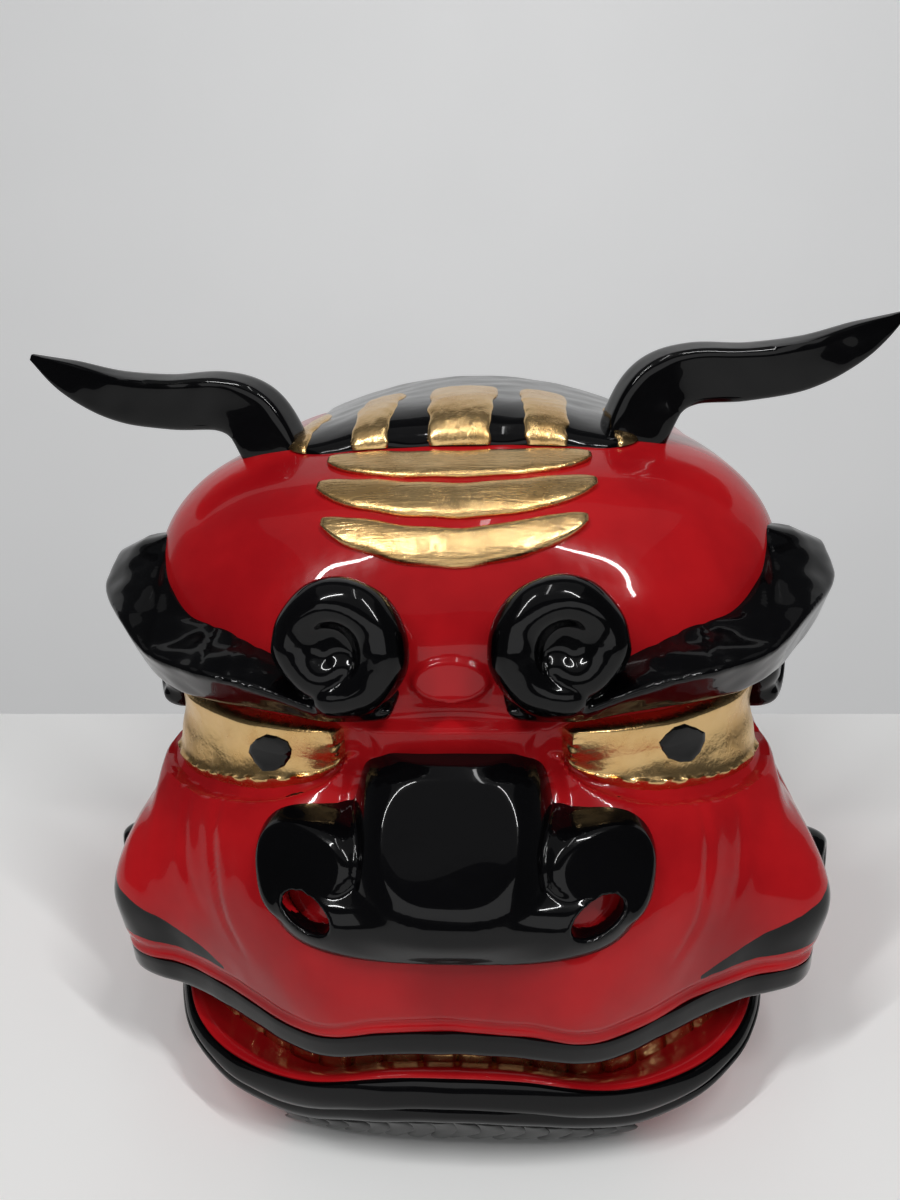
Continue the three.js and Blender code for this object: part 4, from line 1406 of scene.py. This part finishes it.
def jaw_arm(side):
    """A side plate with a round end and the peg's bore, softened along its edges."""
    steps = 18
    end = arm_arc(ARM["radius"], np.linspace(0, math.pi, steps + 1) - ARM_TILT)
    outline = np.concatenate([end, np.array(ARM_OUTLINE, float)])
    bore = arm_arc(ARM["bore"], circle(2 * steps) - ARM_TILT)
    inwards = unit(outline.mean(axis=0) - outline)
    soft, inner, outer = ARM["soft"], ARM["inner"], ARM["outer"]
    points, n, m = [], len(outline), len(bore)
    for x, inset in ((inner, soft), (inner + soft, 0.0), (outer - soft, 0.0), (outer, soft)):
        points += [(side * x, y, z) for y, z in outline + inwards * inset]
    for x in (inner, outer):
        points += [(side * x, y, z) for y, z in bore]
    faces = []
    for level in range(3):
        for k in range(n):
            a, b = level * n + k, level * n + (k + 1) % n
            faces.append([a, b, b + n, a + n])
    first, second = 4 * n, 4 * n + m
    for k in range(m):
        faces.append([first + k, second + k, second + (k + 1) % m, first + (k + 1) % m])
    for outer_start, bore_start in ((0, first), (3 * n, second)):
        cap = [outer_start + k for k in range(steps + 1)]
        cap += [bore_start + k for k in range(steps, -1, -1)]
        rest = [outer_start + k for k in range(steps, n)] + [outer_start]
        rest += [bore_start] + [bore_start + k for k in range(m - 1, steps - 1, -1)]
        faces += [cap, rest]
    return np.array(points), faces


# Rows of teeth and locks, made by nodes

def row_nodes(name):
    """A node tree that sets one piece at each point, over a base, and makes them one mesh."""
    tree = bpy.data.node_groups.new(name, "GeometryNodeTree")
    sockets = {}
    for label, kind in (
        ("Points", "Geometry"), ("Piece", "Object"), ("Base", "Object"), ("Size", "Vector"),
        ("Finish", "Material"),
    ):
        sockets[label] = tree.interface.new_socket(label, in_out="INPUT", socket_type="NodeSocket" + kind)
    tree.interface.new_socket("Mesh", in_out="OUTPUT", socket_type="NodeSocketGeometry")
    nodes = {}
    for label, kind in (
        ("in", "NodeGroupInput"), ("piece", "GeometryNodeObjectInfo"), ("base", "GeometryNodeObjectInfo"),
        ("points", "GeometryNodeMeshToPoints"), ("turn", "GeometryNodeInputNamedAttribute"),
        ("spread", "GeometryNodeInputNamedAttribute"), ("scale", "ShaderNodeVectorMath"),
        ("rotate", "FunctionNodeEulerToRotation"), ("place", "GeometryNodeInstanceOnPoints"),
        ("join", "GeometryNodeJoinGeometry"), ("real", "GeometryNodeRealizeInstances"),
        ("finish", "GeometryNodeSetMaterial"), ("out", "NodeGroupOutput"),
    ):
        nodes[label] = tree.nodes.new(kind)
    for label in ("turn", "spread"):
        nodes[label].data_type = "FLOAT_VECTOR"
        nodes[label].inputs["Name"].default_value = label
    nodes["scale"].operation = "MULTIPLY"
    for start, outlet, end, socket in (
        ("in", "Points", "points", "Mesh"), ("in", "Piece", "piece", "Object"),
        ("in", "Base", "base", "Object"),
        ("points", "Points", "place", "Points"), ("piece", "Geometry", "place", "Instance"),
        ("turn", "Attribute", "rotate", "Euler"), ("rotate", "Rotation", "place", "Rotation"),
        ("in", "Size", "scale", 0), ("spread", "Attribute", "scale", 1),
        ("scale", "Vector", "place", "Scale"),
        ("place", "Instances", "join", "Geometry"), ("base", "Geometry", "join", "Geometry"),
        ("join", "Geometry", "real", "Geometry"), ("real", "Geometry", "finish", "Geometry"),
        ("in", "Finish", "finish", "Material"), ("finish", "Geometry", "out", "Mesh"),
    ):
        tree.links.new(nodes[start].outputs[outlet], nodes[end].inputs[socket])
    return tree, {label: socket.identifier for label, socket in sockets.items()}


def row_of(name, points, turns, spreads, piece, base, size, material):
    """One mesh of a piece repeated over points, with their turns and sizes."""
    mesh = bpy.data.meshes.new(name + "_points")
    mesh.from_pydata((np.asarray(points) * MM).tolist(), [], [])
    for label, values in (("turn", turns), ("spread", spreads)):
        layer = mesh.attributes.new(label, "FLOAT_VECTOR", "POINT")
        layer.data.foreach_set("vector", np.asarray(values, np.float32).ravel())
    holder = linked(name, mesh)
    tree, ids = row_nodes(name + "_row")
    modifier = holder.modifiers.new("row", "NODES")
    modifier.node_group = tree
    for label, value in (("Piece", piece), ("Base", base), ("Size", size), ("Finish", material)):
        modifier[ids[label]] = value
    shown = holder.evaluated_get(bpy.context.evaluated_depsgraph_get())
    result = bpy.data.meshes.new_from_object(shown)
    holder.modifiers.clear()
    holder.data = result
    for used in (piece, base):
        if used:
            bpy.data.objects.remove(used, do_unlink=True)
    if not result.polygons:
        raise RuntimeError(name + " came out empty")
    return holder


TEETH = {
    "front": -127.0, "half": 185.0, "mid": 10.0, "power": 1.75, "end": -66,
    "thick": 10.0, "top": 62.0, "low": 34.0,
}


def single_tooth():
    """A square tooth, a unit wide, deep and high, with softened edges and a worn top."""
    work = bmesh.new()
    bmesh.ops.create_cube(work, size=1.0)
    bmesh.ops.translate(work, verts=work.verts, vec=(0, 0, 0.5))
    bmesh.ops.subdivide_edges(work, edges=work.edges[:], cuts=3, use_grid_fill=True)
    for vertex in work.verts:
        vertex.co.z += 0.02 * math.cos(vertex.co.x * 5.0) * (vertex.co.z > 0.9)
        vertex.co.y -= 0.10 * (0.25 - vertex.co.x ** 2) * (vertex.co.y < -0.45)
        vertex.co.y += 0.86 * (vertex.co.z - 0.35) * (vertex.co.y < -0.2)
    edges = [e for e in work.edges if e.is_manifold and e.calc_face_angle() > 0.8]
    bmesh.ops.bevel(work, geom=edges, offset=0.06, segments=2, affect="EDGES")
    mesh = bpy.data.meshes.new("tooth")
    work.to_mesh(mesh)
    work.free()
    shade_smooth(mesh)
    return linked("tooth", mesh)


def gold_teeth(pitch, material):
    """A row of teeth along the front of the jaw."""
    angle = np.linspace(0, math.pi, 2000)
    c, s = np.cos(angle), np.sin(angle)
    r = (np.abs(c) ** TEETH["power"] + s ** TEETH["power"]) ** (-1 / TEETH["power"])
    reach = TEETH["mid"] - TEETH["front"]
    x, y = -TEETH["half"] * r * c, TEETH["mid"] - reach * r * s
    used = y < TEETH["end"]
    x, y = x[used], y[used]
    length = np.concatenate([[0], np.cumsum(np.hypot(np.diff(x), np.diff(y)))])
    count = int(length[-1] // pitch)
    at = (np.arange(count) + 0.5) * length[-1] / count
    path = np.stack([x, y], -1)

    def along(where):
        return np.stack([np.interp(where, length, column) for column in path.T], -1)

    ahead = along(at + 2) - along(at - 2)
    heading = np.arctan2(ahead[:, 1], ahead[:, 0])
    inward = unit(np.stack([-ahead[:, 1], ahead[:, 0]], -1))
    points = np.column_stack([along(at) + inward * TEETH["thick"] / 2, np.full(count, TEETH["low"])])
    turns = np.column_stack([np.zeros((count, 2)), heading])
    rng = np.random.default_rng(7)
    deep, high = rng.uniform(0.94, 1.0, count), rng.uniform(0.975, 1.0, count)
    spreads = np.column_stack([np.full(count, 0.985), deep, high])
    size = (length[-1] / count * MM, TEETH["thick"] * MM, (TEETH["top"] - TEETH["low"]) * MM)
    return row_of("lower_teeth_gilt", points, turns, spreads, single_tooth(), None, size, material)


CHIN = {"half": 90.0, "rise": 3.5, "gap": 22.0, "level": 20.0, "low": 1.0, "root": 6.5}
LOCK_LENGTH = 34.0
LOCK_LEAN = 0.46


def single_lock():
    """A lock of beard, a unit long, that hangs from its root in a slow wave."""
    rings, around = 20, 12
    t = np.linspace(0, 1, rings)
    path = np.stack([0.10 * np.sin(t * 5.0), -0.06 * np.sin(t * math.pi), -t], -1)
    thick = 0.20 * np.sin(np.clip(0.22 + 0.74 * t, 0, 1) * math.pi) ** 0.6 + 0.01
    angle = circle(around)
    ring = np.stack([np.cos(angle), 0.7 * np.sin(angle), 0 * angle], -1)
    points = path[:, None] + thick[:, None, None] * ring[None]
    return new_object("lock", points.reshape(-1, 3) / MM, tube_faces(rings, around))


def chin_beard(pitch, material):
    """A low plate under the lip with a row of locks laid side by side on it."""
    x, v = np.meshgrid(np.linspace(-CHIN["half"], CHIN["half"], 181), np.linspace(0, 1, 26))
    turn_of = np.linspace(-FRONT_SHARE, FRONT_SHARE, 1200)
    xs = jaw_place(turn_of, CHIN["level"])[:, 0]
    turn = np.interp(x, xs, turn_of)
    z = CHIN["low"] + v * (jaw_line(x) - CHIN["gap"] - CHIN["low"])
    plain = jaw_place(turn, z)
    ends = smooth((CHIN["half"] - np.abs(x)) / 12)
    edge = np.minimum(ends, smooth(np.minimum(v / 0.10, (1.02 - v) / 0.05)))
    lift = CHIN["rise"] * edge - 0.8 * (1 - edge)
    n = normals_of(plain)
    points, faces = plate_between(plain + n * lift[..., None], plain - n * 2.0)
    base = new_object("beard_base", points, faces, sharp=60)
    rng = np.random.default_rng(11)
    at, turns, spreads = [], [], []
    for k in np.arange(-CHIN["half"] + 8, CHIN["half"] - 7, pitch):
        room = float(jaw_line(k)) - CHIN["gap"] - CHIN["low"]
        level = np.array([1.5 + room])
        spot = float(np.interp(k, xs, turn_of))
        seat = jaw_place(np.array([spot]), level)[0]
        near = jaw_place(np.array([spot - 0.004, spot + 0.004]), np.repeat(level, 2))
        heading = math.atan2(near[1, 1] - near[0, 1], near[1, 0] - near[0, 0])
        out = np.array((math.sin(heading), -math.cos(heading), 0))
        at.append(seat + out * CHIN["root"])
        turns.append((LOCK_LEAN, 0.10 * math.copysign(1, k) + 0.05 * rng.normal(), heading))
        spreads.append((1.0 + 0.08 * rng.normal(), 0.24, (room + 0.5) / LOCK_LENGTH))
    size = (LOCK_LENGTH * MM,) * 3
    return row_of("chin_beard_carved", at, turns, spreads, single_lock(), base, size, material)


# The stage

LIGHTS = {
    "tube_left": {"at": (-0.85, -0.85, 2.1), "to": (0, -0.1, 0.2), "size": (0.05, 1.2), "power": 18.0},
    "tube_middle": {"at": (0.05, -0.10, 2.25), "to": (0, -0.1, 0.2), "size": (1.2, 0.05), "power": 2.5},
    "tube_right": {"at": (0.90, -0.80, 2.1), "to": (0, -0.1, 0.2), "size": (0.05, 1.2), "power": 18.0},
    "ceiling": {"at": (0, -0.6, 2.5), "to": (0, -0.6, 0), "size": (3.4, 3.0), "power": 7.0},
    "window": {"at": (0, -2.2, 0.9), "to": (0, -0.3, 0.1), "size": (3.6, 1.1), "power": 13.0},
}


def soft_box(name, at, to, size, power):
    data = bpy.data.lights.new(name, "AREA")
    data.shape = "RECTANGLE"
    data.size, data.size_y = size
    data.energy = power
    lamp = linked(name, data)
    lamp.location = at
    lamp.rotation_euler = (Vector(to) - Vector(at)).to_track_quat("-Z", "Y").to_euler()


ROOM_LIGHT = {"Color": (0.90, 0.95, 1.0, 1), "Strength": 0.07}
TABLE = {"half": 1500, "front": -1500, "back": 330.0, "z": -0.2}
WALL = {"half": 4500, "low": -1700, "high": 3000, "y": 2400.0}
SHEET_CELLS = 7


def table_points():
    across = np.linspace(-TABLE["half"], TABLE["half"], SHEET_CELLS)
    x, y = np.meshgrid(across, np.linspace(TABLE["front"], TABLE["back"], SHEET_CELLS))
    return np.stack([x, y, np.full_like(x, TABLE["z"])], -1)


def backdrop_points():
    """A plain wall far behind the table, so that the head can be seen from the back as well."""
    across = np.linspace(-WALL["half"], WALL["half"], SHEET_CELLS)
    x, z = np.meshgrid(across, np.linspace(WALL["low"], WALL["high"], SHEET_CELLS))
    return np.stack([x, np.full_like(x, WALL["y"]), z], -1)


def pale_sheet(name, colour, points, glow):
    """A flat sheet with a faint cloud in its colour, and some light of its own where `glow` is above zero."""
    sheet = new_object(name, points.reshape(-1, 3), grid_faces(*points.shape[:2]))
    board = Board(name, IOR=1.45, Emission_Strength=glow)
    cloud = board.noise(board.place(), 3.0, 3.0)
    tone = board.mix(cloud, colour, [c * 0.96 for c in colour])
    board.feed("Base Color", tone)
    board.feed("Emission Color", tone)
    board.feed("Roughness", 0.42 + 0.1 * cloud)
    sheet.data.materials.append(board.material)
    return sheet


MUZZLE_Y = -0.140


def photo_camera(stage):
    """A camera at the photograph's place, tilt and roll."""
    az, pitch, roll = stage.azimuth, stage.pitch, stage.roll
    ahead = np.array((-math.sin(az) * math.cos(pitch), math.cos(az) * math.cos(pitch), -math.sin(pitch)))
    level = np.array((math.cos(az), math.sin(az), 0.0))
    down = np.cross(ahead, level)
    right = math.cos(roll) * level + math.sin(roll) * down
    turned = math.cos(stage.yaw) * ahead + math.sin(stage.yaw) * right
    right = math.cos(stage.yaw) * right - math.sin(stage.yaw) * ahead
    over = np.cross(right, turned)
    data = bpy.data.cameras.new("photo_camera")
    data.lens = stage.lens
    data.sensor_width = 36.0
    data.clip_start = 0.01
    camera = linked("photo_camera", data)
    place = Matrix(np.stack([right, over, -turned], axis=1).tolist()).to_4x4()
    muzzle = np.array((0.0, MUZZLE_Y, stage.height))
    away = np.array((math.sin(az), -math.cos(az), 0.0)) * stage.distance
    place.translation = muzzle + away
    camera.matrix_world = place
    return camera


# Operators

class PieceOperator:
    """What every piece's operator shares"""

    bl_options = {"REGISTER", "UNDO"}

    def execute(self, context):
        self.make(context.scene.lion_finish, context.scene.lion_sizes)
        return {"FINISHED"}


class LION_OT_head(PieceOperator, bpy.types.Operator):
    """Carve the hollow red head"""

    bl_idname = "lion.head"
    bl_label = "Red head"

    def make(self, finish, sizes):
        settle(red_head(mm(sizes.wall)), "head", cheek_lacquer(finish), "upper_head")


class LION_OT_nose(PieceOperator, bpy.types.Operator):
    """Carve the nose with its wings and nostrils"""

    bl_idname = "lion.nose"
    bl_label = "Nose"

    def make(self, finish, sizes):
        nose = carved_nose(mm(sizes.carving))
        settle(nose, "head", black_lacquer(finish), "nose")
        paint_nostrils(nose, red_lacquer(finish))


class LION_OT_brows(PieceOperator, bpy.types.Operator):
    """Carve the curled brows"""

    bl_idname = "lion.brows"
    bl_label = "Brows"

    def make(self, finish, sizes):
        settle_pair(carved_brow(mm(sizes.carving)), black_lacquer(finish), "brow")


class LION_OT_tufts(PieceOperator, bpy.types.Operator):
    """Carve the tufts on the temples and the cheeks"""

    bl_idname = "lion.tufts"
    bl_label = "Tufts"

    def make(self, finish, sizes):
        for name in TUFTS:
            settle_pair(carved_tuft(name, mm(sizes.carving)), black_lacquer(finish), name)


class LION_OT_eyes(PieceOperator, bpy.types.Operator):
    """Gild the eyes and set their pupils"""

    bl_idname = "lion.eyes"
    bl_label = "Eyes"

    def make(self, finish, sizes):
        shape = EyeShape()
        gold = gold_leaf(finish, "eye_gold", (30.0, 30.0, 30.0))
        settle_pair(gold_eye(shape), gold, "eye")
        for side, node in ((1, "pupil_right"), (-1, "pupil_left")):
            settle(black_pupil(shape, side), "head", black_lacquer(finish), node)


class LION_OT_ears(PieceOperator, bpy.types.Operator):
    """Carve the ears"""

    bl_idname = "lion.ears"
    bl_label = "Ears"

    def make(self, finish, sizes):
        right = carved_ear("ear_right_carved", EAR_SET["right"])
        pattern = carved_ear("ear_pattern", EAR_SET["left"])
        left = mirror_object(pattern, "ear_left_carved")
        bpy.data.objects.remove(pattern, do_unlink=True)
        settle(right, "head", black_lacquer(finish), "ear_right")
        settle(left, "head", black_lacquer(finish), "ear_left")


class LION_OT_bars(PieceOperator, bpy.types.Operator):
    """Gild the three forehead bars"""

    bl_idname = "lion.bars"
    bl_label = "Forehead bars"

    def make(self, finish, sizes):
        for index in range(len(BARS)):
            bar = gold_bar(index, mm(sizes.bar_rise))
            settle(bar, "head", gold_leaf(finish), "forehead_bar_%d" % (index + 1))


class LION_OT_hair(PieceOperator, bpy.types.Operator):
    """Carve the hair over the crown and gild its stripes"""

    bl_idname = "lion.hair"
    bl_label = "Hair"

    def make(self, finish, sizes):
        settle(hair_cap(), "head", black_lacquer(finish), "hair_cap")
        gold = gold_leaf(finish, "stripe_gold", (60.0, 40.0, 40.0))
        for index in range(len(STRIPES)):
            stripe = gold_stripe(index, mm(sizes.stripe_rise))
            settle(stripe, "head", gold, "hair_stripe_%d" % (index + 1))


class LION_OT_lips(PieceOperator, bpy.types.Operator):
    """Carve both lips"""

    bl_idname = "lion.lips"
    bl_label = "Lips"

    def make(self, finish, sizes):
        settle(upper_lip(mm(sizes.lip_proud)), "head", black_lacquer(finish), "upper_lip")
        settle(lower_lip(), "jaw", black_lacquer(finish), "lower_lip")


class LION_OT_jaw(PieceOperator, bpy.types.Operator):
    """Carve the red jaw with its arms"""

    bl_idname = "lion.jaw"
    bl_label = "Jaw"

    def make(self, finish, sizes):
        settle(red_jaw(), "jaw", red_lacquer(finish), "lower_jaw")


class LION_OT_teeth(PieceOperator, bpy.types.Operator):
    """Set the row of gold teeth"""

    bl_idname = "lion.teeth"
    bl_label = "Teeth"

    def make(self, finish, sizes):
        gold = gold_leaf(finish, "tooth_gold", (40.0, 40.0, 20.0))
        teeth = gold_teeth(mm(sizes.tooth_pitch), gold)
        settle(teeth, "jaw", None, "lower_teeth")


class LION_OT_beard(PieceOperator, bpy.types.Operator):
    """Carve the beard with its row of locks"""

    bl_idname = "lion.beard"
    bl_label = "Beard"

    def make(self, finish, sizes):
        beard = chin_beard(mm(sizes.lock_pitch), black_lacquer(finish))
        settle(beard, "jaw", None, "chin_beard")


class LION_OT_pegs(PieceOperator, bpy.types.Operator):
    """Give the jaw's pegs their wood"""

    bl_idname = "lion.pegs"
    bl_label = "Pegs"

    def make(self, finish, sizes):
        for name in ("jaw_peg_right", "jaw_peg_left"):
            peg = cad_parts[name]
            peg.data.materials.clear()
            peg.data.materials.append(bare_wood(finish))


class LION_OT_stage(bpy.types.Operator):
    """Set the table, the backdrop, the lights and the camera"""

    bl_idname = "lion.stage"
    bl_label = "Stage"
    bl_options = {"REGISTER", "UNDO"}

    def execute(self, context):
        stage = context.scene.lion_stage
        pale_sheet("table_top", stage.table, table_points(), 0.0)
        pale_sheet("backdrop", stage.wall, backdrop_points(), stage.wall_glow)
        for name, light in LIGHTS.items():
            soft_box(name, **light)
        world = bpy.data.worlds.new("room")
        world.use_nodes = True
        for socket, value in ROOM_LIGHT.items():
            world.node_tree.nodes["Background"].inputs[socket].default_value = value
        context.scene.world = world
        context.scene.camera = photo_camera(stage)
        context.scene.view_settings.view_transform = "Standard"
        return {"FINISHED"}


PIECES = (
    LION_OT_head, LION_OT_nose, LION_OT_brows, LION_OT_tufts, LION_OT_eyes, LION_OT_ears, LION_OT_bars,
    LION_OT_hair, LION_OT_lips, LION_OT_jaw, LION_OT_teeth, LION_OT_beard, LION_OT_pegs, LION_OT_stage,
)


class LION_PT_panel(bpy.types.Panel):
    """Sizes, colours and pieces of the lion dance head"""

    bl_idname = "LION_PT_panel"
    bl_label = "Lion dance head"
    bl_space_type = "VIEW_3D"
    bl_region_type = "UI"
    bl_category = "Lion head"

    def draw(self, context):
        for group in (context.scene.lion_sizes, context.scene.lion_finish, context.scene.lion_stage):
            box = self.layout.box()
            for name in group.__annotations__:
                box.prop(group, name)
        for piece in PIECES:
            self.layout.operator(piece.bl_idname)


CLASSES = (LionFinish, LionSizes, LionStage, *PIECES, LION_PT_panel)
GROUPS = (("lion_finish", LionFinish), ("lion_sizes", LionSizes), ("lion_stage", LionStage))


def register():
    for made in CLASSES:
        bpy.utils.register_class(made)
    for name, group in GROUPS:
        setattr(bpy.types.Scene, name, bpy.props.PointerProperty(type=group))


def unregister():
    for name, _ in GROUPS:
        delattr(bpy.types.Scene, name)
    for made in reversed(CLASSES):
        bpy.utils.unregister_class(made)


def main():
    register()
    for piece in PIECES:
        family, name = piece.bl_idname.split(".")
        getattr(getattr(bpy.ops, family), name)()


if __name__ == "__main__":
    main()
